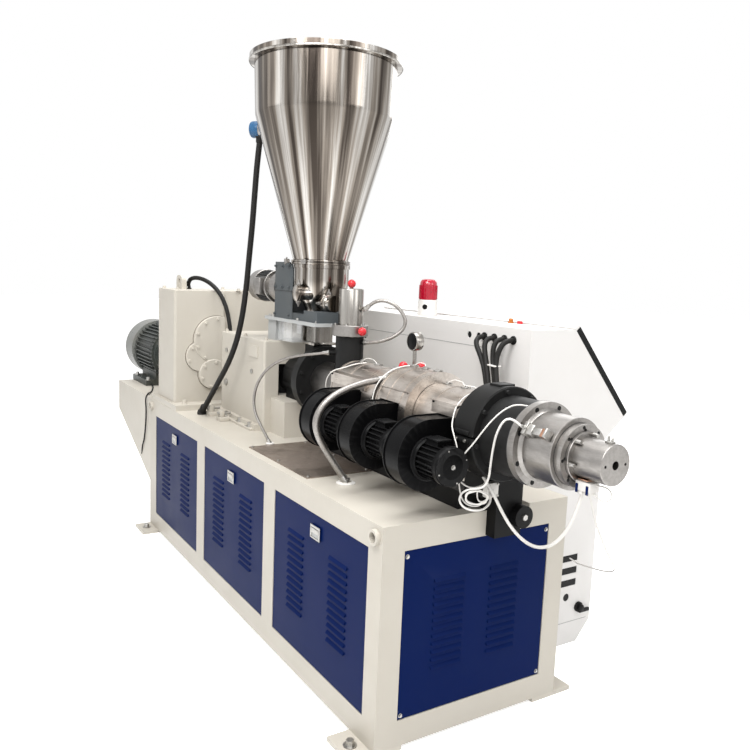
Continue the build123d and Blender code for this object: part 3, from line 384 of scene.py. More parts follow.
def keepForm(name, form, look, replaced=(), sharp=32):
    bmesh.ops.recalc_face_normals(form, faces=form.faces)
    mesh = bpy.data.meshes.new(name)
    form.to_mesh(mesh)
    form.free()
    mesh.transform(Matrix.Scale(mm, 4))
    keepPiece(name, mesh, look, replaced, sharp)


# a piece from a list of shapes, each the function that adds it and what that function is given
def makePiece(name, look, shapes, replaced=(), sharp=32):
    form = bmesh.new()
    for add, *facts in shapes:
        add(form, *facts)
    keepForm(name, form, look, replaced, sharp)


def aimed(origin, axis):
    turn = Vector(upward).rotation_difference(Vector(axis).normalized())
    return Matrix.Translation(origin) @ turn.to_matrix().to_4x4()


def addLathe(form, profile, origin, axis, steps=64):
    place = aimed(origin, axis)
    rings = []
    for radius, height in profile:
        corners = [(radius * math.cos(math.tau * k / steps), radius * math.sin(math.tau * k / steps), height)
                   for k in range(steps)] if radius else [(0, 0, height)]
        rings.append([form.verts.new(place @ Vector(corner)) for corner in corners])
    pairs = list(zip(rings, rings[1:]))
    if len(rings[0]) > 1 and len(rings[-1]) > 1:  # a ring's section closes on itself
        pairs.append((rings[-1], rings[0]))
    for lower, upper in pairs:
        for k in range(steps):
            quad = [lower[k % len(lower)], lower[(k + 1) % len(lower)],
                    upper[(k + 1) % len(upper)], upper[k % len(upper)]]
            corners = list(dict.fromkeys(quad))
            if len(corners) > 2:
                form.faces.new(corners)


# profiles of radius and height: a shaft closes on its axis, and a band is a plain ring
def shaft(*points):
    last = [] if points[-1][0] == 0 else [(0, points[-1][1])]
    return [(0, points[0][1]), *points, *last]


def band(inner, outer, length):
    return [(inner, 0), (outer, 0), (outer, length), (inner, length)]


def addDisc(form, origin, axis, radius, thickness):
    edge, steps = 1.5, 40
    profile = shaft((radius, 0), (radius, thickness - edge), (radius - edge, thickness))
    addLathe(form, profile, origin, axis, steps)


def addBox(form, low, high, bevel=2, turn=None):
    low, high = Vector(low), Vector(high)
    size = Matrix.Diagonal((*(high - low), 1))
    place = Matrix.Translation((low + high) / 2) @ (turn or Matrix.Identity(4)) @ size
    made = bmesh.ops.create_cube(form, size=1.0, matrix=place)
    if bevel:
        edges = {edge for corner in made["verts"] for edge in corner.link_edges}
        bmesh.ops.bevel(form, geom=list(edges), offset=bevel, segments=2, profile=0.5, affect="EDGES")


def addBlock(form, middle, half, bevel, turn=None):
    addBox(form, Vector(middle) - Vector(half), Vector(middle) + Vector(half), bevel, turn)


def addPrism(form, outline, span):
    near = [form.verts.new(Vector(spot)) for spot in outline]
    far = [form.verts.new(Vector(spot) + Vector(span)) for spot in outline]
    form.faces.new(near)
    form.faces.new(far[::-1])
    for k in range(len(near)):
        after = (k + 1) % len(near)
        form.faces.new((near[after], near[k], far[k], far[after]))


def addKnob(form, origin, axis, radius):
    arc = [(radius * math.sin(math.pi * k / 14), -radius * math.cos(math.pi * k / 14)) for k in range(1, 14)]
    addLathe(form, [(0, -radius), *arc, (0, radius)], origin, axis, 28)


def spun(degrees, axis):
    return Matrix.Rotation(math.radians(degrees), 4, axis)


def grid(xs, ys, zs):
    return [(x, y, z) for x in xs for y in ys for z in zs]


def ringSpots(centre, radius, count, start=0, axis="X"):
    spots = []
    for k in range(count):
        a = math.radians(start) + math.tau * k / count
        u, v = radius * math.cos(a), radius * math.sin(a)
        spots.append((centre[0], centre[1] + u, centre[2] + v) if axis == "X"
                     else (centre[0] + u, centre[1] + v, centre[2]))
    return spots


# geometry trees for what repeats; their inputs are in metres
def newTree(name, inputs):
    tree = bpy.data.node_groups.new(name, "GeometryNodeTree")
    tree.interface.new_socket("Geometry", in_out="INPUT", socket_type="NodeSocketGeometry")
    for label, kind, value in [*inputs, ("Finish", "Material", None)]:
        made = tree.interface.new_socket(label, in_out="INPUT", socket_type="NodeSocket" + kind)
        if value is not None:
            made.default_value = value
    tree.interface.new_socket("Geometry", in_out="OUTPUT", socket_type="NodeSocketGeometry")
    return tree, tree.nodes.new("NodeGroupInput").outputs


def finishTree(tree, placed, given):
    real = addNode(tree, "GeometryNodeRealizeInstances", {"Geometry": placed.outputs[0]})
    dressed = {"Geometry": real.outputs[0], "Material": given["Finish"]}
    done = addNode(tree, "GeometryNodeSetMaterial", dressed)
    addNode(tree, "NodeGroupOutput", {0: done.outputs[0]})
    return tree


# a chamfered head on a washer at every point, facing one way
def makeScrewTree():
    tree, given = newTree("screwHeads", [
        ("Radius", "Float", 0.006), ("Height", "Float", 0.004), ("Sides", "Int", 6),
        ("Washer", "Float", 1.45), ("Facing", "Vector", upward)])
    head = addNode(tree, "GeometryNodeMeshCone", {
        "Vertices": given["Sides"], "Radius Top": mathNode(tree, "MULTIPLY", given["Radius"], 0.86),
        "Radius Bottom": given["Radius"], "Depth": given["Height"]})
    plate = addNode(tree, "GeometryNodeMeshCylinder", {
        "Vertices": 20, "Radius": mathNode(tree, "MULTIPLY", given["Radius"], given["Washer"]),
        "Depth": mathNode(tree, "MULTIPLY", given["Height"], 0.3)})
    joined = addNode(tree, "GeometryNodeJoinGeometry")
    for part in (head, plate):
        tree.links.new(part.outputs["Mesh"], joined.inputs[0])
    dots = addNode(tree, "GeometryNodeMeshToPoints", {"Mesh": given["Geometry"]})
    turn = addNode(tree, "FunctionNodeAlignRotationToVector", {"Vector": given["Facing"]}, axis="Z")
    return finishTree(tree, addNode(tree, "GeometryNodeInstanceOnPoints", {
        "Points": dots.outputs[0], "Instance": joined.outputs[0], "Rotation": turn.outputs[0]}), given)


# straight bars in a ring round an axis
def makeRibTree():
    tree, given = newTree("ribRing", [
        ("Count", "Int", 24), ("Ring Radius", "Float", 0.05), ("Bar", "Vector", (0.008, 0.003, 0.05)),
        ("Centre", "Vector", (0, 0, 0)), ("Turn", "Vector", (0, 0, 0))])
    around = {"Vertices": given["Count"], "Radius": given["Ring Radius"]}
    ring = addNode(tree, "GeometryNodeMeshCircle", around)
    bar = addNode(tree, "GeometryNodeMeshCube", {"Size": given["Bar"]})
    spot = addNode(tree, "GeometryNodeInputPosition")
    turn = addNode(tree, "FunctionNodeAlignRotationToVector", {"Vector": spot.outputs[0]}, axis="X")
    placed = addNode(tree, "GeometryNodeInstanceOnPoints", {
        "Points": ring.outputs[0], "Instance": bar.outputs[0], "Rotation": turn.outputs[0]})
    return finishTree(tree, addNode(tree, "GeometryNodeTransform", {
        "Geometry": placed.outputs[0], "Translation": given["Centre"], "Rotation": given["Turn"]}), given)


screwTree = makeScrewTree()
ribTree = makeRibTree()


def growTree(name, tree, spots, look, values):
    mesh = bpy.data.meshes.new(name + "Spots")
    mesh.from_pydata([Vector(spot) * mm for spot in spots], [], [])
    holder = bpy.data.objects.new(name + "Holder", mesh)
    scene.collection.objects.link(holder)
    modifier = holder.modifiers.new("grow", "NODES")
    modifier.node_group = tree
    sockets = {item.name: item.identifier for item in tree.interface.items_tree if item.in_out == "INPUT"}
    for label, value in {**values, "Finish": looks[look]}.items():
        modifier[sockets[label]] = value
    graph = bpy.context.evaluated_depsgraph_get()
    made = bpy.data.meshes.new_from_object(holder.evaluated_get(graph))
    holder.modifiers.remove(modifier)
    bpy.data.objects.remove(holder)
    made.name = name
    keepPiece(name, made, look)


def screws(name, spots, facing, radius=6, height=4, look="zinc", sides=6, washer=1.45):
    growTree(name, screwTree, spots, look, {
        "Radius": radius * mm, "Height": height * 2 * mm, "Sides": sides, "Washer": washer,
        "Facing": [float(value) for value in facing]})


def ribs(name, look, count, radius, bar, centre, tilt=0.0):
    growTree(name, ribTree, [(0, 0, 0)], look, {
        "Count": count, "Ring Radius": radius * mm, "Bar": [size * mm for size in bar],
        "Centre": [value * mm for value in centre], "Turn": [0.0, tilt, 0.0]})


print("helpers and geometry trees built")

# hopper, feeder and pot
hopperLook = {
    "centre": (50, 0, 0),
    "section": [
        (116.5, 1494), (128, 1494), (128.5, 1495.5), (128.5, 1501), (126, 1502), (126, 1503), (128.5, 1504),
        (128.5, 1509), (127.5, 1510.5), (119.5, 1511), (120.5, 1516.5), (200.3, 1790), (288.8, 2094),
        (290.5, 2103), (291.2, 2114), (298, 2309), (316.5, 2310), (318, 2311.5), (318, 2334.5), (316.5, 2336),
        (297, 2336), (295, 2334), (295, 2310), (288.2, 2114), (197.3, 1790), (116.5, 1511)],
    "rimBead": [(317.5, 2308.5), (320.5, 2310.5), (320.5, 2315.5), (317.5, 2318)],
    "steps": 144,
}
makePiece("hopperShell", "hopper", [
    (addLathe, hopperLook["section"], hopperLook["centre"], upward, hopperLook["steps"])], ["hopper"], 24)
makePiece("hopperRimBead", "stainless", [
    (addLathe, hopperLook["rimBead"], hopperLook["centre"], upward, hopperLook["steps"])])

potLook = {
    "section": [
        (60, 1290), (65.5, 1290), (65.5, 1306), (78, 1326), (96, 1350), (110, 1378), (117.5, 1406),
        (119, 1432), (119, 1476.5), (123.5, 1478), (123.5, 1492), (121, 1494), (113, 1494), (113, 1412),
        (60, 1408)],
    "cap": [
        (29, 0), (29, 52), (34.5, 53), (34.5, 60), (33, 61.2), (33, 62.5), (34.5, 63.7), (34.5, 70), (31, 73),
        (18, 78.5), (0, 80)],
    "stub": [
        (30, 0), (30, 45), (36.5, 46), (36.5, 53), (34, 54.5), (34, 56.5), (36.5, 58), (36.5, 65), (30, 67),
        (30, 104), (34.5, 105), (34.5, 110), (28, 110), (0, 108)],
    "ears": [((103.5, -128, 1409.5), upward), ((103.5, -128, 1334.5), (0, 0, -1)),
             ((177.5, -25, 1374), upward), ((177.5, -64, 1334), nearward)],
    "clampRadius": 131,
}
# the feed pot shell takes the hopper steel, with its painted reflection bands
makePiece("feedPotShell", "hopper", [
    (addLathe, potLook["section"], (60, 0, 0), upward, 96),
    (addLathe, shaft(*potLook["cap"]), (105, -70, 1372), (-0.08, -1, 0), 48),
    (addLathe, shaft(*potLook["stub"]), (125, -25, 1334), forward, 48)], ["feed_pot"])
shapes = []  # clamp ears, nuts and the star grip at the hopper joint
for centre, axis in potLook["ears"]:
    shapes += [(addBlock, centre, (6, 9, 6), 1.5),
               (addLathe, shaft((6.5, 0), (6.5, 10), (3.5, 11), (3.5, 19)), centre, axis, 6)]
for turn in (25, 115):
    shapes.append((addBox, (-14.5, -144.5, 1500.5), (20.5, -138.5, 1507.5), 2.5, spun(turn, "Y")))
shapes.append((addDisc, (3, -128, 1504), nearward, 9, 20))
for angle in (-150, -60, 30, 120):
    arm = spun(angle, "Z") @ Vector((potLook["clampRadius"], 0, 0))
    shapes.append((addBlock, arm + Vector((50, 0, 1502.5)), (6, 11, 9.5), 2, spun(angle, "Z")))
makePiece("jointClamps", "aluminium", shapes)

feederLook = {"ribs": 26, "axis": (-45, 1388), "ringStarts": (-409, -279),
              "ring": [(60, 0), (74, 0), (76.5, 3), (76.5, 9), (74, 12), (60, 12)]}
ribs("feederMotorRibs", "greyDark", feederLook["ribs"], 66, (12, 3.5, 128), (-340, *feederLook["axis"]),
     math.pi / 2)
makePiece("feederMotorRings", "aluminium", [
    *((addLathe, feederLook["ring"], (x, *feederLook["axis"]), forward, 56)
      for x in feederLook["ringStarts"]),
    (addBox, (-352, -140, 1350), (-282, -104, 1426), 6)])
screws("feederMotorScrews", ringSpots((-266.5, *feederLook["axis"]), 66, 6, 30), forward, 5)
makePiece("housingSeam", "greyDark", [(addBox, (-166.5, -118.5, 1373.5), (11.5, 41.5, 1376.5), 0.8)])
screws("housingScrews", grid((-148, -78, -8), (-117,), (1392, 1482)) + grid((-148, -8), (-117,), (1272,)),
       nearward, 5.5, 4, "slate")
screws("feederPlateScrews", grid((-235, 225), (-102, 102), (1254,)) + grid((-190, 60), (-108,), (1254,)),
       upward, 7, 5)
makePiece("chuteFlanges", "stainless", [
    (addBox, (6, -55, 1150), (114, 55, 1162)), (addBox, (6, -55, 1228), (114, 55, 1239)),
    (addBox, (-2, -52, 1160), (3, -30, 1238), 1)])
makePiece("clearBox", "clear", [
    (addBox, (x0, y0, 1152), (x1, y1, 1238), 0.8) for x0, x1, y0, y1 in (
        (-150, -12, -100, -96), (-150, -12, 96, 100), (-150, -146, -96, 96), (-16, -12, -96, 96))])
print("hopper and feeder finished")

# vent pot, knobs, gauge and beacon
ventLook = {
    "centre": (322, 0, 0),
    "pot": [(50, 1256), (50, 1397.5), (48.5, 1401), (45.5, 1402)],
    "ring": [(0, 1212), (71.5, 1212), (73, 1213.5), (73, 1254.5), (71.5, 1256), (52, 1256), (51.5, 1254.5),
             (0, 1254.5)],
    "knob": 17,
    "knobs": [((322, 0, 1402), upward, 19.6), ((394, 0, 1236), forward, 23.6),
              ((726, -8, 1112), upward, 25.6), ((726, 72, 1112), upward, 21.6)],
}
makePiece("ventPotShell", "stainless", [
    (addLathe, shaft(*ventLook["pot"]), ventLook["centre"], upward, 72),
    (addLathe, shaft((9.5, 0), (9.5, 12), (7, 13), (7, 20)), (366, 28.5, 1317), (0.62, 0.42, 0.55), 6)],
    ["vent_pot"])
makePiece("ventRingShell", "aluminium", [(addLathe, ventLook["ring"], ventLook["centre"], upward, 72)],
          ["vent_ring"])
makePiece("redKnobs", "red", [
    (addKnob, Vector(foot) + Vector(axis) * reach, axis, ventLook["knob"])
    for foot, axis, reach in ventLook["knobs"]], ["valve_knobs"])
gaugeLook = {"centre": (726, 55, 1227), "stem": [(12, 1112), (12, 1122), (7.2, 1124), (7.2, 1196), (0, 1198)]}
makePiece("gaugeStemRim", "stainless", [
    *((addLathe, shaft((8, -2), (8, 3), (5, 4), (5, reach - 12)), foot, axis, 24)
      for foot, axis, reach in ventLook["knobs"]),
    (addLathe, shaft(*gaugeLook["stem"]), (726, 40, 0), upward, 32),
    (addLathe, [(30.5, 0), (34, 0), (34.5, 3), (34.5, 27), (33, 30), (30.5, 30)], gaugeLook["centre"],
     nearward, 56)], ["pressure_gauge"])
makePiece("gaugeHead", "gloss", [
    (addLathe, shaft((30.7, 1), (30.7, 28.5), (26, 31), (0, 31.8)), gaugeLook["centre"], nearward, 56)])
screws("ventRingScrews", ringSpots((322, 0, 1256), 62.5, 6, 15, "Z"), upward, 4, 3)
screws("ventBaseScrews", ringSpots((322, 0, 1212.5), 66.5, 4, 40, "Z"), (0, 0, -1), 4, 3, "black")

beaconLook = {
    "centre": (160, 500, 1285),
    "dome": [(40, 72), (40.5, 78), (39.5, 140), (37.5, 152), (31, 161), (20, 165)],
    "base": [(43.5, 0), (45, 2), (44.5, 60), (43, 66), (42.5, 72)],
    "ribs": 20,
    "button": (0.62, -0.785, 0),
}
makePiece("beaconDome", "beaconGlass", [
    (addLathe, shaft(*beaconLook["dome"]), beaconLook["centre"], upward, 56)], ["beacon"])
ribs("beaconRibs", "beaconGlass", beaconLook["ribs"], 40.2, (4, 4.5, 62), (160, 500, 1391))
makePiece("beaconBase", "white", [(addLathe, shaft(*beaconLook["base"]), beaconLook["centre"], upward, 56)])
makePiece("beaconButton", "black", [
    (addDisc, Vector((160, 500, 1325)) + Vector(beaconLook["button"]) * 41.8, beaconLook["button"],
     11.5, 4.5)])
print("vent, knobs, gauge and beacon finished")

# die head: every ring is turned about the screws' axis
screws("dieCapScrews", ringSpots((1603, 0, 1000), 63.5, 6, 12), forward, 6.2, 8.5, "zinc", 20, 1.0)
# thin black discs on the screw heads and on the flange faces are painted shade, standing for the dark inside
# of the sockets and holes
screws("dieCapSocketPaintedShade", ringSpots((1611.2, 0, 1000), 63.5, 6, 12), forward, 3.3, 0.6, "black", 6, 1.0)
screws("outerFlangeSocketPaintedShade", ringSpots((1593, 0, 1000), 79.5, 8, 4), forward, 5.2, 0.5, "black", 16, 1.0)
screws("adapterSocketPaintedShade", ringSpots((1451, 0, 1000), 113, 8, 22.5), forward, 7.8, 0.3, "black", 20, 1.0)
dieLook = {
    "steps": [
        (1593, 80, [(50, 0), (70.5, 0), (70.5, 8), (69, 9.5), (50, 9.5)]),
        (1559, 96, [(96, 0), (100.5, 0), (101.5, 1), (101.5, 8), (99.5, 9.5), (96, 9.5)]),
        (1451, 96, [(96, 0), (108.5, 0), (104, 4), (100.5, 10), (96, 10)])],
    "seams": [(1424.5, 126.2), (1568.5, 88.6), (1592.5, 70.6)],
    "plugBlocks": [
        ((1481, 0, 111), (19, 16, 11), 3), ((1516, 0, 112), (16, 11, 8), 3),
        ((1473, 0, 112.5), (7, 19, 13.5), 2), ((1552, 0, 115.5), (4, 14, 14.5), 2)],
}
plugTurn = spun(59, "X")
makePiece("dieSteps", "aluminium", [
    (addLathe, profile, (x, 0, 1000), forward, steps) for x, steps, profile in dieLook["steps"]], sharp=24)
makePiece("dieSeams", "greyDark", [
    (addLathe, band(radius - 4, radius, 1.6), (x, 0, 1000), forward, 96) for x, radius in dieLook["seams"]])


def aroundDie(spot):
    return Matrix.Translation((0, 0, 1000)) @ plugTurn @ Vector(spot)


makePiece("plugClamp", "zinc", [
    *((addBlock, aroundDie(middle), half, bevel, plugTurn) for middle, half, bevel in dieLook["plugBlocks"]),
    (addLathe, shaft((7, 0), (7, 6), (4, 7), (4, 14)), aroundDie((1473, 0, 124)), plugTurn @ Vector(upward),
     6),
    (addBox, (1668, -8.5, 1054.5), (1690, 8.5, 1061), 1.5),
    (addDisc, (1673, 0, 1058), upward, 3.5, 16), (addDisc, (1685, 0, 1058), (0.2, 0, 1), 3.5, 13)],
    ["heater_plugs"])
makePiece("plugConnector", "copper", [
    (addBlock, aroundDie((1541, 0, 113)), (9, 12.5, 10), 2, plugTurn),
    (addBox, (1606, -30, 944), (1640, -2, 947.5), 1)])
makePiece("ceramicPlug", "white", [
    (addBox, (1600, -33, 915), (1652, 3, 941), 3), (addBox, (1606, -29, 905), (1622, -1, 918)),
    (addBox, (1632, -29, 905), (1648, -1, 918))])
makePiece("plugClips", "blue", [(addBox, (x, -35.5, 909), (x + 8, -32.5, 934), 1) for x in (1603.5, 1639.5)])
makePiece("rollerFace", "gloss", [
    (addLathe, shaft((35.5, 0), (37, 1.5), (37, 10), (30, 11), (30, 14.5)), (1250, 112, 716), forward, 56)])
screws("rollerNut", [(1264, 112, 716)], forward, 12, 6, "zinc", 6, 1.35)
makePiece("clampLugs", "black", [
    *((addBox, (1220, -151.5, z - 6.5), (1285, -140.5, z + 6.5)) for z in (988.5, 1011.5)),
    (addBox, (1228, -30, 1142.5), (1277, 30, 1150.5))])
screws("clampScrews", grid((1232, 1272), (-151.5,), (988.5,)), nearward, 4.2, 3)
screws("clampRingScrews", ringSpots((1300, 0, 1000), 134, 8, 10), forward, 7.5, 5, "black")
print("die head finished")

# blowers
blowerLook = {
    "first": 512, "pitch": 286, "axis": (-205, 917), "motorFront": 207,
    "bell": [(50, 0), (58.5, 0), (59.5, 3), (59.5, 18), (56, 23.5), (47, 26), (18, 27.5), (0, 27.5)],
    "rim": [(60, 0), (70.5, 0), (70.5, 4), (66, 6), (62, 12), (60, 12)],
}
y, z = blowerLook["axis"]
shapes, cornerSpots, capSpots, rimSpots = [], [], [], []
for i in range(3):
    x = blowerLook["first"] + i * blowerLook["pitch"]
    front = x + blowerLook["motorFront"]
    shapes += [(addLathe, blowerLook["bell"], (front - 26.5, y, z), forward, 56),
               (addLathe, blowerLook["rim"], (x + 88.5, y, z), forward, 56),
               (addBox, (x + 98, y - 26, z + 66.5), (x + 162, y + 26, z + 72.5))]
    cornerSpots += grid((x - 3.5, x + 87.5), (-89.2,), (926, 1027))
    capSpots.append((front + 1, y, z))
    rimSpots += ringSpots((x + 89.5, y, z), 65.5, 4, 45) + ringSpots((front - 3.5, y, z), 52.5, 4, 20)
makePiece("motorEndBells", "gloss", shapes, sharp=28)
screws("blowerFlangeScrews", cornerSpots, nearward, 3.5, 3, "zinc", 12, 1.3)
screws("motorCentreScrews", capSpots, forward, 5.2, 2.5, "zinc", 12, 1.4)
screws("motorRimScrews", rimSpots, forward, 3, 2, "zinc", 12, 1.3)

# heater covers: start, length and radius of each, with the ends of its near air duct
coverLook = {
    "covers": ((382, 308, 116, 388, 640), (752, 188, 142, 760, 936), (942, 255, 107, 1056, 1198)),
    "catches": (0.12, 0.5, 0.88),
    "straps": (0.3, 0.72),
    "strapFoot": 1030,
    "strapReach": -155,
}
shapes, coverSpots, ductSpots = [], [], []
strap = bmesh.new()
for start, length, radius, ductStart, ductEnd in coverLook["covers"]:
    top = 1000 + radius
    for share in coverLook["catches"]:
        x = start + share * length
        shapes += [(addBox, (x - 12, -6, top - 2), (x + 12, 6, top + 5.5), 1.5),
                   (addLathe, shaft((2.8, 0), (2.8, 36)), (x - 18, 8, top + 4), (1, 0.12, 0), 12)]
        coverSpots.append((x + 6, -0.5, top + 5.5))
    for share in coverLook["straps"]:
        ring = [(radius, 0), (radius + 1.6, 0), (radius + 1.6, 14), (radius, 14)]
        addLathe(strap, ring, (start + share * length, 0, 1000), forward, 96)
    ductSpots += grid((ductStart + 10, ductEnd - 10), (-118.5,), (1071.5,))
for corner in list(strap.verts):  # the straps end above the ducts
    if corner.co.z < coverLook["strapFoot"] or corner.co.y < coverLook["strapReach"]:
        strap.verts.remove(corner)
makePiece("coverCatches", "zinc", shapes)
bmesh.ops.holes_fill(strap, edges=strap.edges)
keepForm("coverStraps", strap, "sheet")
screws("coverScrews", coverSpots, upward, 3.2, 2.5)
screws("wingScrews", ductSpots, nearward, 3.2, 2, "black", 12, 1.3)
print("blowers and covers finished")

# cabinet: a share along the panel's slope, and a height out from it, give a place on it
cabinetLook = {
    "x": (-405, 945),
    "slopeTop": (631, 1285),
    "slopeEnd": (946, 926),
    "normal": (0.7517, 0.6596),
    "panel": 22.5,
    "gland": [(10.2, 0), (16.5, 0), (16.5, 4.5), (14.5, 6.5), (10.2, 6.5)],
    "buttons": {"red": [780], "greenLamp": [700], "black": [460, 540, 620], "amber": [860]},
    "cables": (684, 743, 801, 851),
    "slots": (366, 314, 262),
}
left, right = cabinetLook["x"]
panel = cabinetLook["panel"]
outward = (0, *cabinetLook["normal"])


def slopeSpot(x, share, out):
    (y0, z0), (y1, z1), (ny, nz) = (cabinetLook[key] for key in ("slopeTop", "slopeEnd", "normal"))
    return (x, y0 + (y1 - y0) * share + ny * out, z0 + (z1 - z0) * share + nz * out)


def addSlope(form, x0, x1, upper, lower, inner, outer):
    corners = ((upper, inner), (lower, inner), (lower, outer), (upper, outer))
    addPrism(form, [slopeSpot(x0, share, out) for share, out in corners], (x1 - x0, 0, 0))


makePiece("panelEdging", "gloss", [
    (addSlope, right - 8, right + 1, 0.012, 0.988, -1, panel + 1),
    (addSlope, left - 1, left + 8, 0.012, 0.988, -1, panel + 1),
    (addSlope, left, right, 0.012, 0.035, 1, panel + 1), (addSlope, left, right, 0.965, 0.988, 1, panel + 1)])
makePiece("screenBezel", "greyDark", [(addSlope, -100, 360, 0.16, 0.62, panel, panel + 3)])
makePiece("screenGlass", "gloss", [(addSlope, -75, 335, 0.20, 0.58, panel + 2, panel + 3.6)])
for look, places in cabinetLook["buttons"].items():
    button = shaft((17, 0), (17, 4), (13.5, 5), (13.5, 15), (11.5, 17.5), (0, 18))
    shares = (0.30, 0.55) if look == "black" else (0.42,)
    makePiece(look + "Buttons", look, [
        (addLathe, button, slopeSpot(x, share, panel), outward, 28) for x in places for share in shares])
screws("panelScrews", [slopeSpot(x, share, panel + 0.5) for x in (-380, 270, 920) for share in (0.07, 0.93)],
       outward, 4.5, 3, "zinc", 20, 1.2)
makePiece("cabinetSeams", "seam", [
    (addBox, (-404, 402.2, 1193.5), (700, 403.6, 1195.5), 0), (addBox, (944.6, 425, 93), (945.6, 812, 95), 0),
    (addBox, (-405.6, 425, 93), (-404.6, 812, 95), 0)])
# black slabs and discs set just behind the cabinet's slots and round holes are painted shade for their
# insides; the glands and the other pieces here are black parts
makePiece("cabinetFittingsAndHoleShade", "black", [
    *((addLathe, shaft((12.8, 0), (12.8, 9)), (x, 414.5, 1237), nearward, 32) for x in (590, 647)),
    *((addBox, (933.5, 642.3, z - 13.8), (943.5, 736.7, z + 13.8), 0) for z in cabinetLook["slots"]),
    (addLathe, shaft((15.8, 0), (15.8, 10)), (933.5, 688, 202), forward, 32),
    *((addLathe, cabinetLook["gland"], (x, 403.5, 1238), nearward, 32) for x in cabinetLook["cables"]),
    (addLathe, shaft((21, 0), (21, 10), (15, 12), (15, 22), (10, 24)), (944, 760, 150), forward, 32),
    (addBox, (951, 755, 128), (963, 812, 142), 3),
    *((addBox, (x, 832.5, 470), (x + 24, 844.5, 580), 4) for x in (105, 375))])
makePiece("amberFitting", "amber", [
    (addLathe, shaft((13, 0), (13, 6), (9, 7), (9, 16), (6, 19), (0, 20)), (613, 600, 1285), upward, 24)])
makePiece("redFitting", "red", [
    (addLathe, shaft((12, 0), (12, 10), (9, 12), (0, 13)), (660, 607, 1285), upward, 24)])
makePiece("cableTie", "white", [
    (addBox, (765.5, 321.5, 1138.5), (853.5, 353.5, 1144.5), 2.5, spun(-9, "Z"))])
print("cabinet finished")

# base, doors and gearboxes; a door latch is a frame of four strips, a handle and a recess
doorLook = {
    "left": (-1090, -319, 452), "width": 668, "latchZ": 586, "face": 379.5,
    "plate": ((3.5, 1, -34, 34, 15, 24), (3.5, 1, -34, 34, -24, -18), (3.5, 1, -34, -26, -18, 15),
              (3.5, 1, 26, 34, -18, 15), (4.5, 1.5, -24, 24, -4, 13.5)),
    "recess": ((0.8, 0, -26.5, 26.5, -18.5, 15.5),),
}
for name, look, part in (("latchPlates", "zinc", "plate"), ("latchRecesses", "plate", "recess")):
    shapes = []
    for edge in doorLook["left"]:
        for side in (-1, 1):
            x, y, z = edge + doorLook["width"] / 2, side * doorLook["face"], doorLook["latchZ"]
            for rise, bevel, x0, x1, z0, z1 in doorLook[part]:
                low, high = sorted((y, y + side * rise))
                shapes.append((addBox, (x + x0, low, z + z0), (x + x1, high, z + z1), bevel))
    makePiece(name, look, shapes)
screws("endPanelScrews", grid((1198,), (-285.5, 285.5), (115, 628)), forward, 5.2, 2.5, "zinc", 20, 1.35)
screws("footNuts", grid((-1125, 1125), (-418.25, 418.25), (15,)), upward, 15, 10)

# bearing covers, each with its centre, radius, thickness and bolts; bolts under a larger cover are left out
bearingLook = ((-215, 1000, 80, 16, 6), (-150, 905, 78, 26, 6), (-130, 1085, 125, 20, 10))
boltSpots = [spot for y, z, radius, thickness, count in bearingLook
             for spot in ringSpots((thickness - 850, y, z), radius - 14, count, 18) if spot[1] < -100]
boltSpots = [(x, y, z) for x, y, z in boltSpots if not (x < -825 and math.hypot(y + 150, z - 905) < 86)
             and not (x < -832 and math.hypot(y + 130, z - 1085) < 132)]
screws("bearingCoverBolts", boltSpots, forward, 7.2, 5, "cream")
form = bmesh.new()  # thin dark brown line round each cover's joint, kept on the near side
for y, z, radius, _, _ in bearingLook:
    profile = [(radius + 0.2, 0), (radius + 2, 0), (radius + 2, 1.2), (radius + 0.2, 1.2)]
    addLathe(form, profile, (-850, y, z), forward, 96)
for corner in list(form.verts):
    if corner.co.y > -93:
        form.verts.remove(corner)
bmesh.ops.holes_fill(form, edges=form.edges)
keepForm("coverJointLines", form, "oil")

gearboxFeet = grid((-800,), (-315, -190, 190, 315), (760,)) + grid((-1165,), (-300, 300), (760,))
screws("gearboxFootBolts", gearboxFeet, upward, 13, 10, "cream")
screws("gearboxTopBolts", grid((-1105, -875), (-330, 0, 330), (1343,)), upward, 9, 6, "cream")
screws("distributionTopBolts", grid((-640, -400, -160), (-152, 152), (1148,)), upward, 8, 6, "cream")
makePiece("oilPlugs", "zinc", [
    (addDisc, (-269, -172, 995), nearward, 11, 6), (addDisc, (-585, -172, 900), nearward, 16, 8),
    (addDisc, (-585, -172, 1060), nearward, 11, 6)])
jackLook = {"blocks": (-600, -455), "feet": (-530, -360, -240)}  # beside the distribution gearbox
makePiece("jackBlocks", "cream", [
    *((addBox, (x - 28, -262, 732), (x + 28, -214, 752)) for x in jackLook["blocks"]),
    *((addBox, (x - 20, -258, 752), (x + 20, -238, 784), 3) for x in jackLook["blocks"]),
    (addBox, (-655, -212, 732), (-190, -172, 742))])
makePiece("jackBolts", "zinc", [
    *((addLathe, shaft((10, 0), (10, 8), (5.5, 9), (5.5, 66), (0, 67)), (x, -266, 768), farward, 6)
      for x in jackLook["blocks"]),
    *((addLathe, band(5.6, 10.5, 7), (x, -236, 768), farward, 6) for x in jackLook["blocks"]),
    *((addBox, (x - 22, -208, 742), (x + 22, -176, 744.5), 0.8) for x in jackLook["feet"])])
screws("distributionFootBolts", grid(jackLook["feet"], (-192,), (744.5,)), upward, 11, 9)
# black sheet at the back of the coupling window: painted shade where the window's inside lies in shadow
makePiece("windowPaintedShade", "black", [(addBox, (-194.5, -98.5, 898.5), (-192.5, 98.5, 1040.5), 0)])
screws("accessScrews", grid((128, 378, 628), (-332, -88), (736,)), upward, 5, 2.5, "zinc", 20, 1.2)
screws("rearFlangeBolts", ringSpots((143, 0, 1000), 132, 10, 18), forward, 7.5, 6, "black")
screws("lugBolts", grid((-1030, -970), (-255.5,), (1352,)), farward, 6, 4)
print("base and gearboxes finished")

